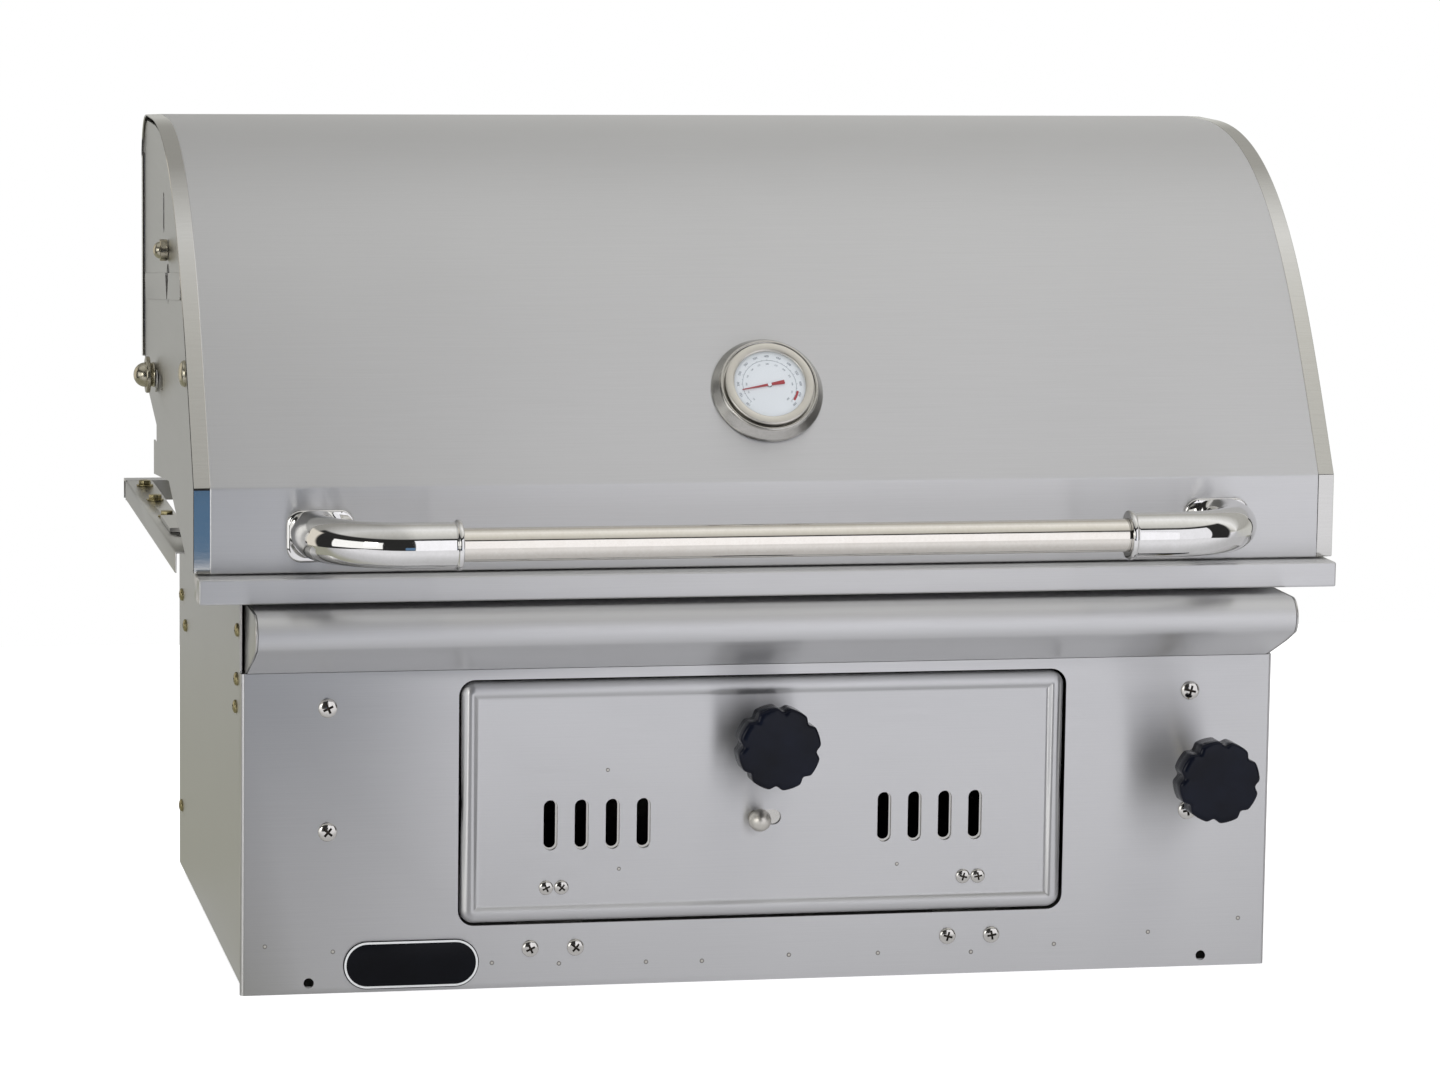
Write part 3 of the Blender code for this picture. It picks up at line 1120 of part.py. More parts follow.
def build_lid_shell(lid):
    """Lid skin, its liner and the hole for the thermometer's stem."""
    line = lid_line()
    stem_hole = DIAL_STEM_RADIUS + SEAT_GAP

    def hole():
        reach = DIAL_STEM_LENGTH
        return placed(rod((0, 0, 1), (0, 0, -reach), stem_hole, 2 * reach), dial_matrix())

    lip = [(-LID_FRONT + LID_LIP, LID_BOTTOM)]
    skin = sheet_outline(lip + line, -SHEET)
    lid.add("lid_shell", prism("X", skin, -LID_HALF, LID_HALF), BRUSHED, cutters=[hole()])
    inner_line = offset_line(line, -SHEET - LID_LINER_GAP)[2:-1]
    reach = LID_SIDE_INNER - SEAT_GAP
    liner = sheet_outline(inner_line, -THIN_SHEET)
    lid.add("lid_liner", prism("X", liner, -reach, reach), LINER, cutters=[hole()])


def lid_side_outline():
    """Outline of a lid side panel, relieved round the pivot at its lower rear."""
    line = offset_line(lid_line(), -SHEET - SEAT_GAP)
    pivot = (PIVOT_PLACE, PIVOT_HEIGHT)
    foot = LID_BACK_BOTTOM
    drop = foot - PIVOT_HEIGHT
    half_angle = math.degrees(math.asin(drop / PIVOT_EAR_RADIUS))
    front = line[0][0]
    lip = LID_BOTTOM + SHEET + SEAT_GAP
    outline = [(front, lip)] + line[1:-1] + [(line[-1][0], foot)]
    outline += arc(pivot, PIVOT_EAR_RADIUS, half_angle, -180 - half_angle, 2 * CORNER_STEPS)
    outline += [(PIVOT_PLACE - PIVOT_NOTCH_REACH, foot), (PIVOT_PLACE - PIVOT_NOTCH_REACH,
                foot - PIVOT_NOTCH_DEPTH)]
    start = math.degrees(math.asin((foot - PIVOT_NOTCH_DEPTH - PIVOT_HEIGHT) / PIVOT_RELIEF_RADIUS))
    rear = math.degrees(math.acos((LID_SIDE_REAR - PIVOT_PLACE) / PIVOT_RELIEF_RADIUS))
    outline += arc(pivot, PIVOT_RELIEF_RADIUS, -180 - start, -rear, 2 * CORNER_STEPS)
    outline += [(LID_SIDE_REAR, LID_SIDE_REAR_HEIGHT), (LID_SIDE_RISE_END, LID_SIDE_RISE_HEIGHT),
                (LID_SIDE_RISE_START, lip)]
    return outline


def build_lid_sides(lid):
    """Two lid side panels with their vents, and the bolts that hold the liner."""
    outline = lid_side_outline()
    low_radius = LOW_VENT_WIDTH / 2
    low_vent = arc((LOW_VENT_PLACE, LOW_VENT_TOP - low_radius), low_radius, 0, 180, 6)
    low_vent.append((LOW_VENT_PLACE, LOW_VENT_BOTTOM))
    bolt_hole = circle((LINER_BOLT_PLACE, LINER_BOLT_HEIGHT), LINER_BOLT_RADIUS + SEAT_GAP)
    openings = (
        circle((PIVOT_PLACE, PIVOT_HEIGHT), PIVOT_SHANK_RADIUS + SEAT_GAP),
        tall_slot(SIDE_VENT_PLACE, SIDE_VENT_BOTTOM, SIDE_VENT_TOP, SIDE_VENT_WIDTH), low_vent, bolt_hole)
    nut = SEAT_GAP + LINER_BOLT_NUT_HEIGHT
    profile = [(0, -LID_SIDE_SHEET - LINER_BOLT_INSIDE), (LINER_BOLT_RADIUS, -LID_SIDE_SHEET - LINER_BOLT_INSIDE),
               (LINER_BOLT_RADIUS, SEAT_GAP), (LINER_BOLT_NUT_RADIUS, SEAT_GAP), (LINER_BOLT_NUT_RADIUS, nut),
               (LINER_BOLT_DOME_RADIUS, nut)] + dome(LINER_BOLT_DOME_RADIUS, LINER_BOLT_DOME_HEIGHT, nut)
    for side, word in ((-1, "left"), (1, "right")):
        low, high = sorted((side * LID_SIDE_INNER, side * LID_SIDE_OUTER))
        cuts = [prism("X", opening, low - OVERRUN, high + OVERRUN) for opening in openings]
        lid.add(f"lid_side_{word}", prism("X", outline, low, high), BRUSHED, cutters=[join(cuts)])
        bolt = placed(turned(profile, 12), along((side, 0, 0), (side * LID_SIDE_OUTER, LINER_BOLT_PLACE,
                                                                LINER_BOLT_HEIGHT)))
        lid.add(f"liner_bolt_{word}", bolt, FASTENER)


def build_hinge_arms(body):
    """Fixed hinge arms inside the lid sides, with the pivot bolts that carry the lid."""
    foot = LEDGE_TOP + SEAT_GAP
    outline = [(ARM_WEB_FRONT, ARM_WEB_HEIGHT), (ARM_TIP_PLACE, ARM_WEB_HEIGHT), (ARM_TIP_PLACE, ARM_TIP_HEIGHT),
               (ARM_BACK, ARM_REAR_HEIGHT), (ARM_BACK, ARM_TOP), (ARM_FRONT, ARM_TOP),
               (ARM_FRONT, PIVOT_HEIGHT - PIVOT_NOTCH_DEPTH), (ARM_WEB_FRONT, ARM_WEB_HEIGHT + PIVOT_EAR_RADIUS)]
    head = ARM_OUTER - ARM_SHEET - SEAT_GAP
    lid_face = LID_SIDE_OUTER + SEAT_GAP
    spacer = lid_face + PIVOT_SPACER_LENGTH
    washer = spacer + PIVOT_WASHER_THICKNESS
    profile = [(0, head - PIVOT_HEAD_HEIGHT), (PIVOT_HEAD_RADIUS, head - PIVOT_HEAD_HEIGHT),
               (PIVOT_HEAD_RADIUS, head), (PIVOT_SHANK_RADIUS, head), (PIVOT_SHANK_RADIUS, lid_face),
               (PIVOT_SPACER_RADIUS, lid_face), (PIVOT_SPACER_RADIUS * (1 - TAPER_SHARE / 2), spacer),
               (PIVOT_WASHER_RADIUS, spacer), (PIVOT_WASHER_RADIUS, washer), (PIVOT_NUT_RADIUS, washer)]
    profile += dome(PIVOT_NUT_RADIUS, PIVOT_NUT_HEIGHT, washer)
    for side, word in ((-1, "left"), (1, "right")):
        low, high = sorted((side * (ARM_OUTER - ARM_SHEET), side * ARM_OUTER))
        bend = [(ARM_OUTER, ARM_WEB_HEIGHT), (ARM_OUTER, ARM_WEB_HEIGHT + ARM_SHEET),
                (ARM_LEG_OUTSIDE - ARM_SHEET, ARM_WEB_HEIGHT + ARM_SHEET),
                (ARM_LEG_OUTSIDE - ARM_SHEET, foot + ARM_SHEET), (ARM_FOOT_INSIDE, foot + ARM_SHEET),
                (ARM_FOOT_INSIDE, foot), (ARM_FOOT_OUTSIDE, foot), (ARM_FOOT_OUTSIDE, foot + ARM_SHEET),
                (ARM_LEG_OUTSIDE, foot + ARM_SHEET), (ARM_LEG_OUTSIDE, ARM_WEB_HEIGHT)]
        bend = [(side * first, second) for first, second in bend]
        plate = prism("X", outline, low, high)
        foot_plate = prism("Y", bend, ARM_WEB_FRONT, ARM_LEG_BACK)
        hole = rod((1, 0, 0), (low - OVERRUN, PIVOT_PLACE, PIVOT_HEIGHT), PIVOT_SHANK_RADIUS + SEAT_GAP,
                   ARM_SHEET + 2 * OVERRUN)
        body.add(f"hinge_arm_{word}", plate, BRUSHED, additions=[foot_plate], cutters=[hole])
        bolt = placed(turned(profile, ROUND_STEPS), along((side, 0, 0), (0, PIVOT_PLACE, PIVOT_HEIGHT)))
        body.add(f"lid_pivot_{word}", bolt, FASTENER)


def swept(places, radii, normals, steps=SMALL_ROUND_STEPS):
    """Round loops along places in a level plane, whose flats touch the radius given at each."""
    loops = []
    for place, radius, normal in zip(places, radii, normals):
        loop = []
        reach = radius / math.cos(math.pi / steps)
        for step in range(steps):
            angle = math.tau * (step + HALF_STEP) / steps
            sideways = reach * math.sin(angle)
            loop.append((place[0] + normal[0] * sideways, place[1] + normal[1] * sideways,
                         place[2] - reach * math.cos(angle)))
        loops.append(loop)
    return loops


def handle_foot(side):
    """Loops of an elbow's foot: a plate with round corners that narrows into the tube."""
    plate_middle = (side * (HANDLE_MOUNT_SPREAD - HANDLE_FOOT_INSET), HANDLE_HEIGHT - HANDLE_FOOT_DROP)
    plate = rounded_box(plate_middle, HANDLE_FOOT_WIDTH / 2, HANDLE_FOOT_HEIGHT / 2, HANDLE_FOOT_CORNER,
                        SMALL_ROUND_STEPS // 4 - 1)
    if side < 0:
        plate = [(2 * plate_middle[0] - place, level) for place, level in plate]
    foot = -LID_FRONT - SEAT_GAP
    start = (side * HANDLE_MOUNT_SPREAD, foot, HANDLE_HEIGHT)
    tube = [(point[0], point[2]) for point in swept([start], [HANDLE_TUBE_RADIUS], [(side, 0)])[0]]
    front = foot - HANDLE_FOOT_SHEET
    depth = front - (-HANDLE_REACH + HANDLE_BEND_RADIUS)
    levels = [(foot, 0.0), (front, 0.0)]
    levels += [(front - depth * index / len(HANDLE_FLARE_SHARES), share)
               for index, share in enumerate(HANDLE_FLARE_SHARES)]
    loops = []
    for level, share in levels:
        loops.append([(one[0] + (two[0] - one[0]) * share, level, one[1] + (two[1] - one[1]) * share)
                      for one, two in zip(plate, tube)])
    return loops


def build_handle(lid):
    """Handle: two elbows with flared feet and collars, and the bar between them."""
    bend_start = -HANDLE_REACH + HANDLE_BEND_RADIUS
    corner = HANDLE_MOUNT_SPREAD - HANDLE_BEND_RADIUS
    collar = HANDLE_COLLAR_SPREAD + HANDLE_COLLAR_LENGTH
    for side, word in ((-1, "left"), (1, "right")):
        places, radii, normals = [], [], []
        steps = 8
        for index in range(steps + 1):
            angle = math.radians(90 * index / steps)
            normal = (math.cos(angle), -math.sin(angle))
            places.append((corner + HANDLE_BEND_RADIUS * normal[0], bend_start + HANDLE_BEND_RADIUS * normal[1]))
            radii.append(HANDLE_TUBE_RADIUS)
            normals.append(normal)
        places += [(collar, -HANDLE_REACH), (collar, -HANDLE_REACH), (HANDLE_COLLAR_SPREAD, -HANDLE_REACH)]
        radii += [HANDLE_TUBE_RADIUS, HANDLE_COLLAR_RADIUS, HANDLE_COLLAR_RADIUS]
        normals += [(0, -1)] * 3
        points = [(side * place[0], place[1], HANDLE_HEIGHT) for place in places]
        turned_normals = [(side * normal[0], normal[1]) for normal in normals]
        elbow = loft(handle_foot(side) + swept(points, radii, turned_normals))
        lid.add(f"handle_elbow_{word}", elbow, POLISHED)
    end = HANDLE_COLLAR_SPREAD - SEAT_GAP
    lid.add("handle_bar", rod((1, 0, 0), (-end, -HANDLE_REACH, HANDLE_HEIGHT), HANDLE_BAR_RADIUS, 2 * end,
                              ROUND_STEPS), POLISHED)


def build_thermometer(lid, needle):
    """Thermometer: conical ring, case with its stem, dial, needle and lens."""
    matrix = dial_matrix()
    bore = DIAL_CASE_RADIUS + SEAT_GAP
    ring = [(bore, SEAT_GAP), (DIAL_RING_RADIUS, SEAT_GAP), (DIAL_RING_RADIUS, DIAL_RING_EDGE),
            (DIAL_RING_TOP_RADIUS, DIAL_RING_HEIGHT), (bore, DIAL_RING_HEIGHT)]
    lid.add("thermometer_ring", placed(turned(ring, closed=True), matrix), BRUSHED)
    bezel_bottom = DIAL_CASE_HEIGHT - DIAL_BEZEL_HEIGHT
    inside = DIAL_CASE_RADIUS - DIAL_CASE_WALL
    floor = DIAL_CASE_FLOOR
    case = [(0, -DIAL_STEM_LENGTH), (DIAL_STEM_RADIUS, -DIAL_STEM_LENGTH), (DIAL_STEM_RADIUS, SEAT_GAP),
            (DIAL_CASE_RADIUS, SEAT_GAP), (DIAL_CASE_RADIUS, bezel_bottom), (DIAL_BEZEL_RADIUS, bezel_bottom),
            (DIAL_BEZEL_RADIUS, DIAL_CASE_HEIGHT), (inside, DIAL_CASE_HEIGHT), (inside, floor), (0, floor)]
    lid.add("thermometer_case", placed(turned(case), matrix), FASTENER)
    dial_low = floor + SEAT_GAP
    dial_high = dial_low + DIAL_FACE_THICKNESS
    edge = inside - SEAT_GAP
    dial = [(DIAL_HOLE_RADIUS, dial_low), (edge, dial_low), (edge, dial_high), (DIAL_HOLE_RADIUS, dial_high)]
    lid.add("thermometer_dial", placed(turned(dial, closed=True), matrix), DIAL_FACE)
    lens_high = DIAL_CASE_HEIGHT - LENS_DROP
    lens = [(0, lens_high - LENS_THICKNESS), (edge, lens_high - LENS_THICKNESS), (edge, lens_high),
            (0, lens_high)]
    lid.add("thermometer_lens", placed(turned(lens), matrix), GLASS)
    low = dial_high + NEEDLE_LIFT
    high = low + NEEDLE_THICKNESS
    half = NEEDLE_WIDTH / 2
    hand = [(-NEEDLE_LENGTH, 0), (-NEEDLE_HUB_RADIUS, -half), (NEEDLE_TAIL, -half), (NEEDLE_TAIL, half),
            (-NEEDLE_HUB_RADIUS, half)]
    pin = DIAL_HOLE_RADIUS - SEAT_GAP
    hub = [(0, dial_low), (pin, dial_low), (pin, low), (NEEDLE_HUB_RADIUS, low),
           (NEEDLE_HUB_RADIUS, high + SEAT_GAP), (0, high + SEAT_GAP)]
    pointing = matrix @ Matrix.Rotation(math.radians(NEEDLE_TURN), 4, "Z")
    needle.add("thermometer_needle", placed(prism("Z", hand, low, high), pointing), NEEDLE_RED,
               additions=[placed(turned(hub, SMALL_ROUND_STEPS), matrix)])


def build_grill():
    """Builds every group of the grill, in the order in which it is put together."""
    root = Group("grill", (0, 0, 0))
    root.empty.location = (0, FRAME_SHIFT, 0)
    body = Group("body", (0, 0, 0), root)
    build_front_panel(body)
    build_body_shell(body)
    build_bullnose(body)
    build_ledge(body)
    build_firebox(body)
    build_grates(body)
    build_baffle_and_rack(body)
    build_guides(body)
    build_hinge_arms(body)
    build_catch_and_plate(body)
    build_lift_frame(Group("lift_frame_travel", (0, CAM_BRIDGE_PLACE, CAM_BRIDGE_BOTTOM), body))
    build_charcoal_tray(Group("tray_travel", (0, PIN_BACK, TRAY_BOTTOM), body))
    build_lift_drive(Group("lift_shaft_axis", (SHAFT_PLACE, 0, SHAFT_HEIGHT), body))
    door = Group("door_axis", (0, DOOR_AXIS_PLACE, DOOR_AXIS_HEIGHT), body)
    build_door(door)
    build_damper_guides(door)
    build_door_hinges(body, door)
    build_damper(Group("damper_travel", (0, DOOR_INSIDE, BALL_HEIGHT), door))
    lid = Group("lid_axis", (0, PIVOT_PLACE, PIVOT_HEIGHT), body)
    build_lid_shell(lid)
    build_lid_sides(lid)
    build_handle(lid)
    dial_point, _ = lid_curve_point(DIAL_ON_CURVE_SHARE)
    build_thermometer(lid, Group("needle_axis", (0, dial_point.x, dial_point.y), lid))


for old in list(bpy.data.objects):
    bpy.data.objects.remove(old)
build_grill()
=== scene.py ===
"""Looks of a built-in charcoal grill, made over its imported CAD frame.

Lengths are in metres. The sizes in the classes are measured from the middle of the
grill, from the outer face of the front panel and from the floor. Workshop moves each
finished piece into the frame.
"""

from __future__ import annotations

import json
import logging
import math
from collections.abc import Iterable, Sequence
from dataclasses import dataclass
from enum import Enum
from typing import Any

import bmesh
import bpy
from bmesh.types import BMEdge, BMesh, BMVert
from bpy.types import Material, Node, NodeSocket, NodeTree, Object
from mathutils import Matrix, Vector

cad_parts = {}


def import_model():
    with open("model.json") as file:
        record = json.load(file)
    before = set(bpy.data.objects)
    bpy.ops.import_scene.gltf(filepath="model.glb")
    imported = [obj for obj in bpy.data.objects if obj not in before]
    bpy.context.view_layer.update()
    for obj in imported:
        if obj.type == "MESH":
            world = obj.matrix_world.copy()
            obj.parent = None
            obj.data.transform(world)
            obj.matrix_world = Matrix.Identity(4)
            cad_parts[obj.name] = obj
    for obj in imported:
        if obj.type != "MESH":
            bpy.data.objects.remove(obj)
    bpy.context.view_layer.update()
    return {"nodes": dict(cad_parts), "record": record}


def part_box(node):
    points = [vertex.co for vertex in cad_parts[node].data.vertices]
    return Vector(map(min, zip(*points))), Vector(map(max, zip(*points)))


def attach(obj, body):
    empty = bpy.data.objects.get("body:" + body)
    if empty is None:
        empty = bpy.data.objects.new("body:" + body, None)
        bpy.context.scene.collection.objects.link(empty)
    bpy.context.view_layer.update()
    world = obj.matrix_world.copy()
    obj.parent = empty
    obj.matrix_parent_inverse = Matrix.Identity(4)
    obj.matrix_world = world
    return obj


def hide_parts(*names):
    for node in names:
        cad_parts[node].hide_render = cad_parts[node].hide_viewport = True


LOG = logging.getLogger("grill")

Point = tuple[float, float]

SIDES = ((-1, "left"), (1, "right"))
FORWARD = (0, -1, 0)
# place behind the panel and height of the lid's pivots
PIVOT = (0.270, 0.392)
# place to the right of the middle and height of the shaft that lifts the tray
SHAFT = (0.302, 0.1433)
# levels between which a cutter passes through the front panel, the door and the damper
PANEL_CUT = (-0.003, 0.0045)


class Axis(Enum):
    """Direction in which a flat outline is extruded."""

    X = "X"
    Y = "Y"
    Z = "Z"

    def point(self, pair: Sequence[float], level: float) -> Vector:
        """Puts a flat point at a level along this axis.

        Args:
            pair: The two coordinates in the plane square to the axis.
            level: Place along the axis.

        Returns:
            The point in space.
        """
        if self is Axis.X:
            return Vector((level, pair[0], pair[1]))
        if self is Axis.Y:
            return Vector((pair[0], level, pair[1]))
        return Vector((pair[0], pair[1], level))


class Grain(Enum):
    """Direction in which the belt ran when the sheet was brushed."""

    ACROSS = "X"
    BACK = "Y"


# Colour and node helpers


def linear(colour: str) -> tuple[float, float, float, float]:
    """Turns an sRGB hex colour into the linear colour that the shader works in.

    Args:
        colour: Colour such as "#A8A8A6".

    Returns:
        Red, green, blue and an opaque alpha.
    """
    shares = [int(colour[place:place + 2], 16) / 255 for place in (1, 3, 5)]
    red, green, blue = (share / 12.92 if share <= 0.04045 else ((share + 0.055) / 1.055) ** 2.4
                        for share in shares)
    return red, green, blue, 1.0


def add_node(tree: NodeTree, kind: str, settings: dict[str, Any] | None = None,
             inputs: dict[Any, Any] | None = None) -> Node:
    """Adds a node with its settings, values and links.

    Args:
        tree: The tree that gets the node.
        kind: Blender's name for the node's type.
        settings: Properties of the node.
        inputs: Values, or output sockets of other nodes, for its inputs.

    Returns:
        The new node.
    """
    node = tree.nodes.new(kind)
    for name, value in (settings or {}).items():
        setattr(node, name, value)
    for name, value in (inputs or {}).items():
        if isinstance(value, NodeSocket):
            tree.links.new(value, node.inputs[name])
        else:
            node.inputs[name].default_value = value
    return node


def new_material(name: str) -> tuple[Material, NodeTree]:
    """Makes an empty node material.

    Args:
        name: Name of the material.

    Returns:
        The material and its tree.
    """
    material = bpy.data.materials.new(name)
    material.use_nodes = True
    material.node_tree.nodes.clear()
    return material, material.node_tree


def tone_ramp(tree: NodeTree, factor: NodeSocket, dark: str, light: str,
              low: float = 0.3, high: float = 0.7) -> NodeSocket:
    """Turns a pattern into a slow change between two colours.

    Args:
        tree: The tree that gets the node.
        factor: The pattern.
        dark: Colour of its low parts.
        light: Colour of its high parts.
        low: Pattern value at which the dark colour ends.
        high: Pattern value at which the light colour starts.

    Returns:
        The colour socket.
    """
    ramp = add_node(tree, "ShaderNodeValToRGB", {}, {"Fac": factor})
    ramp.color_ramp.elements[0].position = low
    ramp.color_ramp.elements[1].position = high
    ramp.color_ramp.elements[0].color = linear(dark)
    ramp.color_ramp.elements[1].color = linear(light)
    return ramp.outputs["Color"]


def join_surface(tree: NodeTree, colour: NodeSocket, pattern: NodeSocket, relief: NodeSocket,
                 roughness: Point, bump: Point, extra: dict[str, Any]) -> None:
    """Joins a finish's colour, roughness and relief into its surface.

    Args:
        tree: The tree that gets the nodes.
        colour: The colour.
        pattern: Pattern that varies the roughness.
        relief: Pattern that gives the relief.
        roughness: Middle roughness and its spread to both sides.
        bump: Strength and depth of the relief.
        extra: Further values and links of the shader.
    """
    middle, spread = roughness
    rough = add_node(tree, "ShaderNodeMapRange", {}, {
        "Value": pattern, "From Min": 0.3, "From Max": 0.7,
        "To Min": max(0.02, middle - spread), "To Max": middle + spread})
    strength, depth = bump
    skin = add_node(tree, "ShaderNodeBump", {}, {"Height": relief, "Strength": strength, "Distance": depth})
    shader = add_node(tree, "ShaderNodeBsdfPrincipled", {}, {
        "Base Color": colour, "Roughness": rough.outputs["Result"], "Normal": skin.outputs["Normal"],
        **extra})
    add_node(tree, "ShaderNodeOutputMaterial", {}, {"Surface": shader.outputs["BSDF"]})


# Shapes


def arc(centre: Point, radius: float, start: float, end: float, steps: int) -> list[Point]:
    """Points of an arc between two angles in degrees, its ends among them."""
    turns = (math.radians(start + (end - start) * step / steps) for step in range(steps + 1))
    return [(centre[0] + radius * math.cos(turn), centre[1] + radius * math.sin(turn)) for turn in turns]


def fillet(before: Point, corner: Point, after: Point, radius: float, steps: int = 4) -> list[Point]:
    """Rounds a corner of an outline with a short curve.

    Args:
        before: The outline's point before the corner.
        corner: The corner.
        after: The point after it.
        radius: How far from the corner the curve starts and ends.
        steps: Number of its parts.

    Returns:
        The points that take the corner's place.
    """
    middle = Vector(corner)
    first = middle + (Vector(before) - middle).normalized() * radius
    last = middle + (Vector(after) - middle).normalized() * radius
    points = []
    for step in range(steps + 1):
        share = step / steps
        spot = first * (1 - share) ** 2 + middle * 2 * share * (1 - share) + last * share ** 2
        points.append((spot.x, spot.y))
    return points


def rounded(points: Sequence[Point], radius: float, steps: int = 4) -> list[Point]:
    """Rounds every corner of a closed outline by the same radius.

    Args:
        points: The outline.
        radius: How far from a corner its curve starts and ends.
        steps: Number of parts of each curve.

    Returns:
        The rounded outline.
    """
    result: list[Point] = []
    for index, corner in enumerate(points):
        result += fillet(points[index - 1], corner, points[(index + 1) % len(points)], radius, steps)
    return result


def wire(shape: BMesh, axis: Axis, points: Sequence[Point], level: float,
         closed: bool = False) -> list[BMEdge]:
    """Draws a line of edges at a level of an axis.

    Args:
        shape: Mesh that gets them.
        axis: Axis square to the line's plane.
        points: Points of the line.
        level: Place along the axis.
        closed: Whether the last point joins the first.

    Returns:
        The edges.
    """
    corners = [shape.verts.new(axis.point(point, level)) for point in points]
    pairs = list(zip(corners, corners[1:]))
    if closed:
        pairs.append((corners[-1], corners[0]))
    return [shape.edges.new(pair) for pair in pairs]


def prism(axis: Axis, points: Sequence[Point], low: float, high: float) -> BMesh:
    """Extrudes a closed outline along an axis into a solid.

    Args:
        axis: Direction of the extrusion.
        points: The outline.
        low: Level where it starts.
        high: Level where it ends.

    Returns:
        The solid.
    """
    shape = bmesh.new()
    face = shape.faces.new([shape.verts.new(axis.point(point, low)) for point in points])
    grown = bmesh.ops.extrude_face_region(shape, geom=[face])["geom"]
    bmesh.ops.translate(shape, verts=[item for item in grown if isinstance(item, BMVert)],
                        vec=axis.point((0, 0), high - low))
    bmesh.ops.recalc_face_normals(shape, faces=shape.faces)
    return shape


def block(low: Sequence[float], high: Sequence[float]) -> BMesh:
    """Makes a box between two corners.

    Args:
        low: Its lower corner.
        high: Its upper corner.

    Returns:
        The box.
    """
    shape = bmesh.new()
    middle = (Vector(low) + Vector(high)) / 2
    size = Vector(high) - Vector(low)
    bmesh.ops.create_cube(shape, size=1, matrix=Matrix.Translation(middle) @ Matrix.Diagonal(size.to_4d()))
    return shape


def soften(shape: BMesh, offset: float, angle: float = 30.0, segments: int = 3) -> BMesh:
    """Bevels every edge that turns by more than an angle.

    Args:
        shape: Mesh to bevel.
        offset: Width of the bevel.
        angle: Smallest turn in degrees.
        segments: Number of parts of the bevel.

    Returns:
        The same mesh.
    """
    limit = math.radians(angle)
    sharp = [edge for edge in shape.edges if len(edge.link_faces) == 2 and edge.calc_face_angle(0.0) > limit]
    bmesh.ops.bevel(shape, geom=sharp, offset=offset, affect="EDGES", segments=segments, profile=0.5,
                    material=-1, clamp_overlap=True)
    return shape


def keep_flat(shape: BMesh, strip: float) -> BMesh:
    """Cuts a strip beside the border of a box, so that its bevels don't bend the faces' shading.

    Args:
        shape: Bevelled box.
        strip: Distance of the cuts from its sides.

    Returns:
        The same mesh.
    """
    for axis in range(3):
        normal = [float(axis == other) for other in range(3)]
        places = [vert.co[axis] for vert in shape.verts]
        for place in (min(places) + strip, max(places) - strip):
            spot = [place * part for part in normal]
            bmesh.ops.bisect_plane(shape, geom=shape.verts[:] + shape.edges[:] + shape.faces[:], dist=1e-6,
                                   plane_co=spot, plane_no=normal)
    return shape


def stadium(centre: Point, half_width: float, half_height: float, radius: float,
            steps: int = 8) -> list[Point]:
    """Rounded rectangle, anticlockwise, from its lower right corner's arc.

    Args:
        centre: Its middle.
        half_width: Half of its width.
        half_height: Half of its height.
        radius: Radius of its corners.
        steps: Number of parts of each corner.

    Returns:
        The outline.
    """
    right, top = centre[0] + half_width - radius, centre[1] + half_height - radius
    left, bottom = centre[0] - half_width + radius, centre[1] - half_height + radius
    points = arc((right, bottom), radius, -90, 0, steps) + arc((right, top), radius, 0, 90, steps)
    return points + arc((left, top), radius, 90, 180, steps) + arc((left, bottom), radius, 180, 270, steps)


def dome(radius: float, rise: float, foot: float, step: int = 9) -> list[Point]:
    """Rounded top of a turned profile, from its rim towards its middle."""
    turns = [math.radians(angle) for angle in range(0, 90, step)]
    return [(radius * math.cos(turn), foot + rise * math.sin(turn)) for turn in turns]


def slab(side: int, outer: float, sheet: float) -> list[float]:
    """Levels of a sheet on one side of the middle, the lower one first."""
    return sorted((side * outer, side * (outer - sheet)))


def along(direction: Sequence[float], place: Sequence[float]) -> Matrix:
    """Placement whose local Z points in a direction from a place."""
    turn = Vector((0, 0, 1)).rotation_difference(Vector(direction).normalized())
    return Matrix.Translation(Vector(place)) @ turn.to_matrix().to_4x4()


def spun(profile: Sequence[Point], placement: Matrix | None = None, steps: int = 64,
         closed: bool = False) -> BMesh:
    """Turns a profile of radius and height about local Z.

    Args:
        profile: Pairs of radius and height.
        placement: Where the turned piece goes.
        steps: Parts of the full turn.
        closed: Whether the profile's end joins its start.

    Returns:
        The turned piece, with outward faces.
    """
    shape = bmesh.new()
    edges = wire(shape, Axis.Y, profile, 0.0, closed)
    bmesh.ops.spin(shape, geom=list(shape.verts) + edges, cent=(0, 0, 0), axis=(0, 0, 1), dvec=(0, 0, 0),
                   angle=math.tau, steps=steps, use_merge=True, use_duplicate=False)
    bmesh.ops.remove_doubles(shape, verts=shape.verts, dist=1e-6)
    bmesh.ops.dissolve_degenerate(shape, edges=shape.edges, dist=1e-7)
    bmesh.ops.recalc_face_normals(shape, faces=shape.faces)
    if placement is not None:
        shape.transform(placement)
    return shape


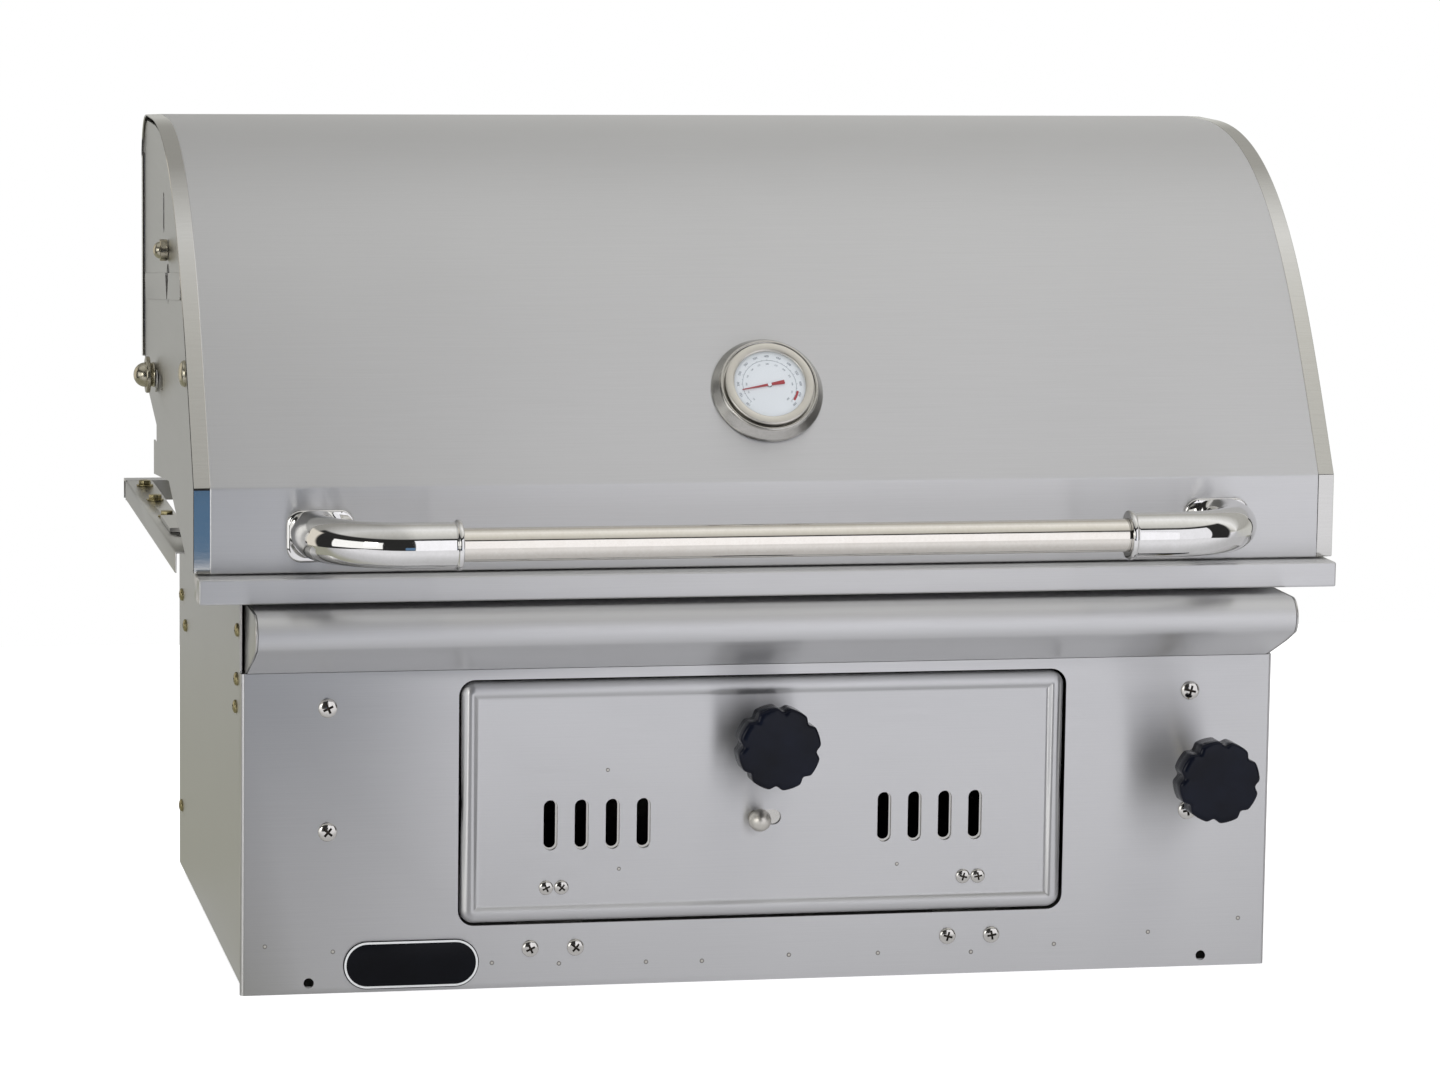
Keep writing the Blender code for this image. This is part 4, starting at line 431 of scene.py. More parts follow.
def grown_through(loops: Sequence[Sequence[Vector]]) -> BMesh:
    """Extrudes the first loop through all the others and closes both ends.

    Args:
        loops: Rings with the same number of points.

    Returns:
        The closed solid.
    """
    shape = bmesh.new()
    ring = [shape.verts.new(point) for point in loops[0]]
    first = ring
    edges = [shape.edges.new(pair) for pair in zip(ring, ring[1:] + ring[:1])]
    for loop in loops[1:]:
        grown = bmesh.ops.extrude_edge_only(shape, edges=edges)["geom"]
        fresh = {item for item in grown if isinstance(item, BMVert)}
        ring = [next(edge.other_vert(corner) for edge in corner.link_edges
                     if edge.other_vert(corner) in fresh) for corner in ring]
        for corner, point in zip(ring, loop):
            corner.co = point
        edges = [item for item in grown if isinstance(item, BMEdge) and fresh.issuperset(item.verts)]
    shape.faces.new(first)
    shape.faces.new(ring)
    bmesh.ops.recalc_face_normals(shape, faces=shape.faces)
    return shape


def loft(axis: Axis, sections: Sequence[tuple[float, Sequence[Point]]]) -> BMesh:
    """Solid through outlines with the same number of points, each at its own level.

    Args:
        axis: Axis square to the outlines.
        sections: Level and outline of each section.

    Returns:
        The closed solid.
    """
    return grown_through([[axis.point(point, level) for point in outline] for level, outline in sections])


def merged(shapes: Iterable[BMesh]) -> BMesh:
    """Puts separate meshes into one and frees them.

    Args:
        shapes: The meshes.

    Returns:
        The one mesh.
    """
    result = bmesh.new()
    for shape in shapes:
        store = bpy.data.meshes.new("store")
        shape.to_mesh(store)
        shape.free()
        result.from_mesh(store)
        bpy.data.meshes.remove(store)
    return result


def copies(shape: BMesh, placements: Iterable[Matrix]) -> BMesh:
    """Repeats a mesh at each placement and frees it.

    Args:
        shape: The mesh.
        placements: Where its copies go.

    Returns:
        All the copies in one mesh.
    """
    store = bpy.data.meshes.new("store")
    shape.to_mesh(store)
    shape.free()
    result = bmesh.new()
    for placement in placements:
        moved = store.copy()
        moved.transform(placement)
        result.from_mesh(moved)
        bpy.data.meshes.remove(moved)
    bpy.data.meshes.remove(store)
    return result


def weld_mark(radius: float) -> BMesh:
    """Mark of a spot weld: a low dull ring round a bright middle.

    Args:
        radius: Radius of the ring.

    Returns:
        The mark on local Z = 0, with its middle as material index 1.
    """
    inner, rise = 0.55 * radius, 0.0002
    ring = spun([(inner, 0), (radius, 0), (0.8 * radius, rise), (inner, rise)], steps=16, closed=True)
    middle = spun([(0, 0), (inner, 0), (inner, rise / 2), (0, rise)], steps=16)
    for face in middle.faces:
        face.material_index = 1
    return merged([ring, middle])


def carved(shape: BMesh, cutters: Sequence[BMesh], operation: str = "DIFFERENCE") -> BMesh:
    """Cuts cutters out of a solid, or joins them to it, with exact booleans.

    Args:
        shape: The solid.
        cutters: Closed solids.
        operation: DIFFERENCE to cut, UNION to join.

    Returns:
        The result as a new mesh.
    """
    def stand_in(name: str, source: BMesh) -> Object:
        """Puts a mesh into the scene for the boolean and frees it.

        Args:
            name: Name of the stand-in.
            source: The mesh.

        Returns:
            The stand-in.
        """
        mesh = bpy.data.meshes.new(name)
        bmesh.ops.recalc_face_normals(source, faces=source.faces)
        source.to_mesh(mesh)
        source.free()
        item = bpy.data.objects.new(name, mesh)
        bpy.context.scene.collection.objects.link(item)
        return item

    base = stand_in("carve_base", shape)
    tool = stand_in("carve_tool", merged(cutters))
    change = base.modifiers.new("carve", "BOOLEAN")
    change.operation = operation
    change.solver = "EXACT"
    change.use_self = operation == "UNION"
    change.object = tool
    bpy.context.view_layer.update()
    graph = bpy.context.evaluated_depsgraph_get()
    result = bmesh.new()
    result.from_mesh(base.evaluated_get(graph).to_mesh())
    base.evaluated_get(graph).to_mesh_clear()
    for item in (base, tool):
        mesh = item.data
        bpy.data.objects.remove(item)
        bpy.data.meshes.remove(mesh)
    return result


def swept(line: Sequence[Point], half: float, seen: Vector) -> tuple[BMesh, list[BMEdge], list[BMEdge]]:
    """Sweeps a section from left to right into an open sheet.

    Args:
        line: The section.
        half: Half of the sheet's width.
        seen: Direction that the middle of the sheet faces, roughly.

    Returns:
        The sheet, with normals that face that way, and its left and right borders.
    """
    shape = bmesh.new()
    left = wire(shape, Axis.X, line, -half)
    grown = bmesh.ops.extrude_edge_only(shape, edges=left)["geom"]
    moved = {item for item in grown if isinstance(item, BMVert)}
    bmesh.ops.translate(shape, verts=list(moved), vec=(2 * half, 0, 0))
    right = [item for item in grown if isinstance(item, BMEdge) and moved.issuperset(item.verts)]
    shape.normal_update()
    if sum(face.normal.dot(seen) * face.calc_area() for face in shape.faces) < 0:
        bmesh.ops.reverse_faces(shape, faces=shape.faces)
    return shape, left, right


def flange(shape: BMesh, edges: Sequence[BMEdge], shift: Vector, sink: float) -> list[BMEdge]:
    """Grows a sheet over its border and sinks the new border below the surface.

    Args:
        shape: The open sheet.
        edges: The border.
        shift: Move of the new border.
        sink: How far it sinks against the surface's normals.

    Returns:
        The new border.
    """
    shape.normal_update()
    grown = bmesh.ops.extrude_edge_only(shape, edges=edges)["geom"]
    fresh = {item for item in grown if isinstance(item, BMVert)}
    for corner in fresh:
        root = next(edge.other_vert(corner) for edge in corner.link_edges
                    if edge.other_vert(corner) not in fresh)
        corner.co += shift - root.normal * sink
    return [item for item in grown if isinstance(item, BMEdge) and fresh.issuperset(item.verts)]


# Finishes


@dataclass(frozen=True)
class BrushedSteel:
    """Stainless steel sheet of the 304 kind, belt-brushed in one direction.

    The belt leaves fine parallel lines that spread each highlight square to them, so
    the sheet looks like a pale, nearly even grey.
    """

    name: str
    grain: Grain
    dark: str = "#CECECE"
    light: str = "#D5D5D5"
    roughness: float = 0.34
    spread: float = 0.03
    anisotropy: float = 1.0
    line_width: float = 0.0006
    line_length: float = 0.060

    def build(self) -> Material:
        """Builds the material.

        Returns:
            Metal with brush lines in its colour, roughness and height.
        """
        material, tree = new_material(self.name)
        place = add_node(tree, "ShaderNodeTexCoord")
        stretch = [1 / self.line_width] * 3
        stretch["XYZ".index(self.grain.value)] = 1 / self.line_length
        fine = add_node(tree, "ShaderNodeMapping", {}, {"Vector": place.outputs["Object"], "Scale": stretch})
        lines = add_node(tree, "ShaderNodeTexNoise", {}, {
            "Vector": fine.outputs["Vector"], "Scale": 1.0, "Detail": 3.0, "Roughness": 0.6})
        broad = add_node(tree, "ShaderNodeTexNoise", {}, {
            "Vector": place.outputs["Object"], "Scale": 5.0, "Detail": 2.0})
        tone = add_node(tree, "ShaderNodeMix", {"data_type": "FLOAT"},
                        {"Factor": 0.35, "A": lines.outputs["Fac"], "B": broad.outputs["Fac"]})
        colour = tone_ramp(tree, tone.outputs["Result"], self.dark, self.light)
        tangent = add_node(tree, "ShaderNodeTangent", {"direction_type": "RADIAL", "axis": self.grain.value})
        brushed = {"Metallic": 1.0, "Anisotropic": self.anisotropy, "Tangent": tangent.outputs["Tangent"]}
        join_surface(tree, colour, lines.outputs["Fac"], lines.outputs["Fac"], (self.roughness, self.spread),
                     (0.06, 0.0001), brushed)
        return material


@dataclass(frozen=True)
class WornMetal:
    """Metal without a brushed direction, from a mirror polish to heat-darkened plate.

    A low roughness gives the sharp reflections of polished stainless. A high one with a
    broken tone gives the dull mill skin or the blued, sooty skin of hot pieces. The darkest
    one also fills the screws' cross recesses, as painted shade.
    """

    name: str
    dark: str
    light: str
    roughness: float
    spread: float = 0.03
    grit: float = 0.004
    bump: float = 0.02

    def build(self) -> Material:
        """Builds the material.

        Returns:
            Metal with a cloudy tone and roughness.
        """
        material, tree = new_material(self.name)
        place = add_node(tree, "ShaderNodeTexCoord")
        cloud = add_node(tree, "ShaderNodeTexNoise", {}, {
            "Vector": place.outputs["Object"], "Scale": 0.25 / self.grit, "Detail": 5.0, "Roughness": 0.6})
        speck = add_node(tree, "ShaderNodeTexNoise", {}, {
            "Vector": place.outputs["Object"], "Scale": 1 / self.grit, "Detail": 2.0})
        tone = add_node(tree, "ShaderNodeMix", {"data_type": "FLOAT"},
                        {"Factor": 0.3, "A": cloud.outputs["Fac"], "B": speck.outputs["Fac"]})
        colour = tone_ramp(tree, tone.outputs["Result"], self.dark, self.light)
        join_surface(tree, colour, cloud.outputs["Fac"], speck.outputs["Fac"], (self.roughness, self.spread),
                     (self.bump, 0.0002), {"Metallic": 1.0})
        return material


@dataclass(frozen=True)
class Coating:
    """Plastic, enamel, paint or print: a coloured skin without metal.

    Moulded phenolic of the knobs has a soft satin sheen from a fine-grained mould. The
    dial's print is matt, and the badge's enamel is smooth.
    """

    name: str
    dark: str
    light: str
    roughness: float
    spread: float = 0.03
    grit: float = 0.0008
    bump: float = 0.05
    specular: float = 0.5

    def build(self) -> Material:
        """Builds the material.

        Returns:
            Dielectric with a fine mould grain.
        """
        material, tree = new_material(self.name)
        place = add_node(tree, "ShaderNodeTexCoord")
        grain = add_node(tree, "ShaderNodeTexNoise", {}, {
            "Vector": place.outputs["Object"], "Scale": 1 / self.grit, "Detail": 2.0})
        cloud = add_node(tree, "ShaderNodeTexNoise", {}, {
            "Vector": place.outputs["Object"], "Scale": 40.0, "Detail": 3.0})
        colour = tone_ramp(tree, cloud.outputs["Fac"], self.dark, self.light)
        join_surface(tree, colour, grain.outputs["Fac"], grain.outputs["Fac"], (self.roughness, self.spread),
                     (self.bump, 0.0001), {"Specular IOR Level": self.specular})
        return material


@dataclass(frozen=True)
class ClearGlass:
    """Pressed soda-lime glass over the dial, which shows as a faint sheen."""

    name: str
    tint: str

    def build(self) -> Material:
        """Builds the material.

        Returns:
            Thin clear glass with a reflection that grows towards the edge.
        """
        material, tree = new_material(self.name)
        place = add_node(tree, "ShaderNodeTexCoord")
        smear = add_node(tree, "ShaderNodeTexNoise", {}, {
            "Vector": place.outputs["Object"], "Scale": 60.0, "Detail": 2.0})
        rough = add_node(tree, "ShaderNodeMapRange", {}, {
            "Value": smear.outputs["Fac"], "To Min": 0.02, "To Max": 0.07})
        clear = add_node(tree, "ShaderNodeBsdfTransparent", {}, {"Color": linear(self.tint)})
        gloss = add_node(tree, "ShaderNodeBsdfGlossy", {}, {"Roughness": rough.outputs["Result"]})
        edge = add_node(tree, "ShaderNodeFresnel", {}, {"IOR": 1.5})
        side = add_node(tree, "ShaderNodeNewGeometry")
        # light that leaves the thin pane isn't thrown back, as it would be by a thick block
        outer = add_node(tree, "ShaderNodeMath", {"operation": "SUBTRACT", "use_clamp": True}, {
            0: edge.outputs["Fac"], 1: side.outputs["Backfacing"]})
        shader = add_node(tree, "ShaderNodeMixShader", {}, {
            0: outer.outputs["Value"], 1: clear.outputs["BSDF"], 2: gloss.outputs["BSDF"]})
        add_node(tree, "ShaderNodeOutputMaterial", {}, {"Surface": shader.outputs["Shader"]})
        return material


@dataclass(frozen=True)
class Palette:
    """Every finish of the grill, built once."""

    sheet_across: Material
    sheet_back: Material
    trim: Material
    bar: Material
    spun: Material
    bezel: Material
    chrome: Material
    fastener: Material
    plated: Material
    brass: Material
    mill: Material
    hot: Material
    plastic: Material
    print_ground: Material
    print_ink: Material
    red: Material
    glass: Material
    enamel: Material

    @classmethod
    def build(cls) -> Palette:
        """Builds the materials.

        Returns:
            The palette.
        """
        return cls(
            sheet_across=BrushedSteel("brushed_stainless_across", Grain.ACROSS).build(),
            sheet_back=BrushedSteel("brushed_stainless_back", Grain.BACK, "#C6C5C2", "#CECDCA").build(),
            trim=BrushedSteel("polished_stainless_hem", Grain.ACROSS, "#C6C5C1", "#CECDC9",
                              roughness=0.10, anisotropy=0.40).build(),
            bar=WornMetal("polished_stainless_tube", "#DAD5CC", "#E0DCD4",
                          roughness=0.07, spread=0.02, grit=0.002, bump=0.003).build(),
            spun=WornMetal("lathe_turned_stainless", "#BDBBB5", "#C9C7C2",
                           roughness=0.22, spread=0.04, grit=0.001, bump=0.05).build(),
            bezel=WornMetal("satin_stainless_bezel", "#D8D4CB", "#DEDBD3",
                            roughness=0.38, spread=0.05, grit=0.0008, bump=0.03).build(),
            chrome=WornMetal("mirror_polished_stainless", "#DAD9D6", "#E1E0DE",
                             roughness=0.045, spread=0.01, grit=0.002, bump=0.003).build(),
            fastener=WornMetal("nickel_plated_screw_steel", "#A8A290", "#C4BFAE",
                               roughness=0.24, spread=0.06, grit=0.001, bump=0.05).build(),
            plated=WornMetal("bright_chromed_screw_steel", "#CECBC5", "#DAD8D3",
                             roughness=0.13, spread=0.04, grit=0.001, bump=0.03).build(),
            brass=WornMetal("yellow_passivated_screw_steel", "#8E8562", "#B0A67F",
                            roughness=0.30, spread=0.08, grit=0.001, bump=0.08).build(),
            mill=WornMetal("mill_finish_stainless", "#8C8A86", "#A09E99",
                           roughness=0.42, spread=0.08, grit=0.003, bump=0.06).build(),
            hot=WornMetal("heat_darkened_steel_and_recess_shade", "#3A3733", "#575048",
                          roughness=0.55, spread=0.10, grit=0.003, bump=0.15).build(),
            plastic=Coating("moulded_black_phenolic", "#0D0F18", "#131724",
                            roughness=0.16, grit=0.0006, bump=0.02, specular=0.16).build(),
            print_ground=Coating("printed_dial_ground", "#EEF0F1", "#F5F7F8",
                                 roughness=0.5, grit=0.0005, bump=0.02).build(),
            print_ink=Coating("printed_dial_ink", "#5F6672", "#6E7682",
                              roughness=0.6, grit=0.0005, bump=0.02).build(),
            red=Coating("red_needle_paint", "#A3272C", "#B5333A",
                        roughness=0.4, grit=0.0005, bump=0.02).build(),
            glass=ClearGlass("pressed_dial_glass", "#FBFCFD").build(),
            enamel=Coating("black_badge_enamel", "#090A0E", "#0D0F15",
                           roughness=0.20, grit=0.0008, bump=0.01, specular=0.12).build(),
        )


# Making and registering pieces


@dataclass
class Workshop:
    """Turns finished shapes into pieces that ride on the frame."""

    front: float
    palette: Palette
    made: int = 0

    def piece(self, name: str, shape: BMesh, materials: Material | Sequence[Material], body: str,
              replaces: Sequence[str] = (), smooth: float = 35.0,
              thickness: float = 0.0) -> None:
        """Makes one piece of the visual model.

        Args:
            name: Name of the piece.
            shape: Its mesh, measured from the front panel's face. It is freed.
            materials: One material, or one for each material index in the mesh.
            body: CAD body that it rides on.
            replaces: CAD nodes that it stands for.
            smooth: Edges that turn by less than this angle in degrees are smooth.
            thickness: Wall of an open sheet, which grows against its normals, or 0 for a solid.
        """
        bmesh.ops.remove_doubles(shape, verts=shape.verts, dist=1e-6)
        if thickness:
            bmesh.ops.solidify(shape, geom=shape.faces, thickness=thickness)
        bmesh.ops.recalc_face_normals(shape, faces=shape.faces)
        bmesh.ops.translate(shape, verts=shape.verts, vec=(0, self.front, 0))
        mesh = bpy.data.meshes.new(name)
        shape.to_mesh(mesh)
        shape.free()
        for material in [materials] if isinstance(materials, Material) else materials:
            mesh.materials.append(material)
        mesh.shade_smooth()
        mesh.set_sharp_from_angle(angle=math.radians(smooth))
        item = bpy.data.objects.new(name, mesh)
        bpy.context.scene.collection.objects.link(item)
        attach(item, body)
        if replaces:
            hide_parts(*replaces)
        self.made += 1
        LOG.info("%s rides on %s", name, body)


@dataclass
class Screws:
    """Cross-recessed truss-head screws and hexagon-head screws."""

    radius: float = 0.0046
    height: float = 0.0024
    recess_reach: float = 0.0025
    recess_width: float = 0.0010
    hexagon: float = 0.0048
    hexagon_height: float = 0.0042
    washer: float = 0.0062
    washer_sheet: float = 0.0009

    @classmethod
    def sized(cls, radius: float) -> Screws:
        """Screws of one head radius, with a recess and height in proportion."""
        return cls(radius, 0.42 * radius, 0.56 * radius, 0.25 * radius)

    def cross_head(self) -> BMesh:
        """Truss head with a cross recess.

        Returns:
            The head, standing on local Z = 0.
        """
        crown = dome(self.radius, 0.75 * self.height, 0.25 * self.height, 10)
        head = spun([(0, 0), (self.radius, 0)] + crown + [(0, self.height)], steps=32)
        for quarter in (0, 1):
            arm = block((-self.recess_reach, -self.recess_width / 2, self.height * 0.2),
                        (self.recess_reach, self.recess_width / 2, self.height + 0.001))
            # the recess faces take the second material, which the screws fill with dark steel as painted
            # shade in the recess
            for face in arm.faces:
                face.material_index = 1
            arm.transform(Matrix.Rotation(math.pi / 2 * quarter, 4, "Z"))
            head = carved(head, [arm])
        return head

    def hex_head(self) -> BMesh:
        """Hexagon head on a round washer face.

        Returns:
            The head, standing on local Z = 0.
        """
        corners = arc((0, 0), self.hexagon, 0, 300, 5)
        sheet = self.washer_sheet
        head = soften(prism(Axis.Z, corners, sheet - 0.0001, self.hexagon_height), 0.0004, segments=2)
        plate = spun([(0, 0), (self.washer, 0), (self.washer, sheet), (0, sheet)], steps=32)
        soften(plate, 0.0002)
        return merged([plate, head])

    def group(self, head: BMesh, direction: Sequence[float], places: Iterable[Sequence[float]],
              turn: float = 25.0) -> BMesh:
        """Copies of one head.

        Args:
            head: The head, which is freed.
            direction: Where the heads point.
            places: Their seats.
            turn: Turn of each head about its axis after the one before, in degrees.

        Returns:
            All the heads in one mesh.
        """
        spots = [along(direction, place) @ Matrix.Rotation(math.radians(turn * (index + 1)), 4, "Z")
                 for index, place in enumerate(places)]
        return copies(head, spots)

    def on_front(self, places: Iterable[Point]) -> BMesh:
        """Cross-recessed heads on the grill's front, sunk a tenth of a millimetre."""
        return self.group(self.cross_head(), FORWARD, [(x, -0.0001, z) for x, z in places])


@dataclass
class Lid:
    """Curved lid: its skin with bevelled end trims, its side panels and what is fixed to them."""

    half_width: float = 0.3925
    trim_width: float = 0.0115
    trim_sink: float = 0.0004
    front: float = 0.023
    bottom: float = 0.2905
    crease: float = 0.3475
    lean: float = 31.2
    lower_pull: float = 0.1425
    upper_pull: float = 0.1635
    crown_start: float = 0.2753
    top: float = 0.5744
    back: float = 0.354
    back_radius: float = 0.035
    back_bottom: float = 0.397
    lip: float = 0.010
    lip_bend: float = 0.0016
    crease_bend: float = 0.0012
    curve_start: float = 0.006
    sheet: float = 0.0012
    side_outer: float = 0.3910
    side_sheet: float = 0.0012
    side_inset: float = 0.0048
    side_rise: float = 0.0018
    side_foot: tuple[Point, ...] = ((0.277, 0.320), (0.165, 0.329))
    side_foot_front: float = 0.045
    # radius of the lobe round the pivot, notch before it and radius of the relief below it
    ear: float = 0.0125
    notch: Point = (0.061, 0.010)
    relief: float = 0.048
    relief_end: float = -81.6
    steps: int = 72
    upper_vent: Point = (0.199, 0.513)
    upper_vent_half: Point = (0.0045, 0.014)
    lower_vent: Point = (0.168, 0.470)
    lower_vent_radius: float = 0.010
    lower_vent_drop: float = 0.019
    vent_tip: float = 0.0015
    pivot_hole: float = 0.0043
    overrun: float = 0.002
    strap_sheet: float = 0.0010
    strap_corner: float = 0.003
    strap_edge: float = 0.0003
    strap: tuple[Point, ...] = ((0.334, 0.459), (0.077, 0.4816), (0.077, 0.463), (0.328, 0.441))
    rivet: Point = (0.052, 0.416)

    def curve(self, share: float) -> tuple[Vector, Vector]:
        """Point and outward normal of the front curve.

        Args:
            share: Share of its run from the crease to the crown.

        Returns:
            The point and the normal, as places behind the panel and heights.
        """
        lean = math.radians(self.lean)
        start = Vector((-self.front, self.crease))
        end = Vector((self.crown_start, self.top))
        first = start + self.lower_pull * Vector((math.sin(lean), math.cos(lean)))
        second = end - self.upper_pull * Vector((1, 0))
        rest = 1 - share
        point = (rest ** 3 * start + 3 * rest ** 2 * share * first + 3 * rest * share ** 2 * second
                 + share ** 3 * end)
        slope = (rest ** 2 * (first - start) + 2 * rest * share * (second - first)
                 + share ** 2 * (end - second))
        slope.normalize()
        return point, Vector((-slope.y, slope.x))

    def line(self) -> list[Point]:
        """Outer line of the skin from its front lip to the foot of its back.

        Returns:
            Places behind the panel and heights.
        """
        corner = (-self.front, self.bottom)
        points = [(-self.front + self.lip, self.bottom)]
        points += fillet(points[0], corner, (-self.front, self.crease), self.lip_bend)
        early = self.curve(self.curve_start)[0]
        points += fillet(corner, (-self.front, self.crease), (early.x, early.y), self.crease_bend, 5)
        run = (1 - self.curve_start) / self.steps
        points += [tuple(self.curve(self.curve_start + run * step)[0]) for step in range(self.steps + 1)]
        points += arc((self.back - self.back_radius, self.top - self.back_radius), self.back_radius, 90, 0,
                      16)
        points.append((self.back, self.back_bottom))
        return points

    def inner_line(self, depth: float) -> list[Point]:
        """Moves the outer line inwards and leaves out its lip.

        Args:
            depth: How far it is moved.

        Returns:
            The moved line.
        """
        points = self.line()[1:]
        moved = []
        for index, point in enumerate(points):
            before = Vector(points[max(index - 1, 0)])
            after = Vector(points[min(index + 1, len(points) - 1)])
            run = (after - before).normalized()
            moved.append((point[0] + run.y * depth, point[1] - run.x * depth))
        return moved

    def skin(self) -> BMesh:
        """Outer sheet with both end trims.

        Returns:
            The open sheet with outward normals.
        """
        inner = self.half_width - self.trim_width
        shape, left, right = swept(self.line(), inner, Vector((0, -1, 1)))
        for side, border in ((1, right), (-1, left)):
            for run, sink in ((0.0003, 0.00012), (0.0003, -0.00012),
                              (self.trim_width - 0.0010, self.trim_sink), (0.0004, 0.0004), (0.0, 0.0010)):
                border = flange(shape, border, Vector((side * run, 0, 0)), sink)
        polished = inner + 0.0002
        for face in shape.faces:
            face.material_index = int(abs(face.calc_center_median().x) > polished)
        return shape

    def side_outline(self) -> list[Point]:
        """Outline of a side panel, relieved round the pivot at its lower rear.

        Returns:
            Places behind the panel and heights.
        """
        line = self.inner_line(self.side_inset)
        foot = self.back_bottom
        lip = self.bottom + self.side_rise
        half_angle = math.degrees(math.asin((foot - PIVOT[1]) / self.ear))
        notch = (PIVOT[0] - self.notch[0], foot - self.notch[1])
        outline = [(line[2][0], lip)] + line[6:-1] + [(line[-1][0], foot)]
        outline += arc(PIVOT, self.ear, half_angle, -180 - half_angle, 24)
        outline += [(notch[0], foot), notch]
        start = math.degrees(math.asin((notch[1] - PIVOT[1]) / self.relief))
        outline += arc(PIVOT, self.relief, -180 - start, self.relief_end, 24)
        return outline + [*self.side_foot, (self.side_foot_front, lip)]

    def low_vent(self) -> list[Point]:
        """Drop-shaped lower vent, round above and pointed below.

        Returns:
            Its outline.
        """
        top = arc(self.lower_vent, self.lower_vent_radius, 0, 180, 20)
        tip = (self.lower_vent[0], self.lower_vent[1] - self.lower_vent_drop)
        left, right = (self.lower_vent[0] + side * self.lower_vent_radius for side in (-1, 1))
        return top + fillet((left, self.lower_vent[1]), tip, (right, self.lower_vent[1]), self.vent_tip)

    def build(self, shop: Workshop) -> None:
        """Makes the lid's skin, sides, straps and rivets.

        Args:
            shop: Makes and registers the pieces.
        """
        palette = shop.palette
        shop.piece("lid_skin", self.skin(), [palette.sheet_across, palette.trim], "lid",
                   ["lid_shell"], smooth=14.0, thickness=self.sheet)
        outline = self.side_outline()
        openings = (stadium(self.upper_vent, *self.upper_vent_half, self.upper_vent_half[0] - 0.0001),
                    self.low_vent(), arc(PIVOT, self.pivot_hole, 0, 345, 23))
        for side, word in SIDES:
            low, high = slab(side, self.side_outer, self.side_sheet)
            cuts = [prism(Axis.X, opening, low - self.overrun, high + self.overrun) for opening in openings]
            panel = carved(prism(Axis.X, outline, low, high), cuts)
            shop.piece(f"lid_side_panel_{word}", panel, palette.sheet_back, "lid",
                       [f"lid_side_{word}"])
            low, high = slab(side, self.side_outer + self.strap_sheet, self.strap_sheet)
            strap = soften(prism(Axis.X, rounded(self.strap, self.strap_corner), low, high), self.strap_edge)
            strap = carved(strap, [prism(Axis.X, self.low_vent(), low - self.overrun, high + self.overrun)])
            shop.piece(f"lid_side_strap_{word}", strap, palette.sheet_back, "lid")
            profile = [(0, 0), (0.0090, 0), (0.0090, 0.0006)] + dome(0.0088, 0.0037, 0.0008) + [(0, 0.0045)]
            rivet = spun(profile, along((side, 0, 0), (side * self.side_outer, *self.rivet)), 40)
            shop.piece(f"lid_side_rivet_{word}", rivet, palette.fastener, "lid")


@dataclass
class LidPivots:
    """Pivot bolts with spacer, washer and dome nut, and the bolts that hold the liner."""

    face: float = 0.3913
    bolt: Point = (0.172, 0.489)

    def build(self, shop: Workshop) -> None:
        """Makes the turned stacks.

        Args:
            shop: Makes and registers the pieces.
        """
        for side, word in SIDES:
            profile = [(0, -0.0126), (0.0075, -0.0126), (0.0075, -0.0086), (0.004, -0.0086), (0.004, 0.0),
                       (0.0088, 0.0), (0.0090, 0.0004), (0.0082, 0.0028), (0.0078, 0.0033), (0.0126, 0.0033),
                       (0.0130, 0.0037), (0.0130, 0.0056), (0.0126, 0.0062), (0.0092, 0.0062),
                       (0.0092, 0.0066)] + dome(0.0087, 0.0081, 0.0066, 6) + [(0, 0.0147)]
            stack = spun(profile, along((side, 0, 0), (side * self.face, *PIVOT)), 48)
            shop.piece(f"lid_pivot_stack_{word}", stack, shop.palette.fastener, "body",
                       [f"lid_pivot_{word}"], smooth=30.0)
            nut = spun([(0, -0.0112), (0.003, -0.0112), (0.003, 0.0), (0.0072, 0.0), (0.0075, 0.0003),
                        (0.0075, 0.0049), (0.0070, 0.0053)] + dome(0.0058, 0.0045, 0.0053) + [(0, 0.0098)],
                       along((side, 0, 0), (side * self.face, *self.bolt)), 48)
            shop.piece(f"liner_dome_nut_{word}", nut, shop.palette.fastener, "lid",
                       [f"liner_bolt_{word}"], smooth=30.0)


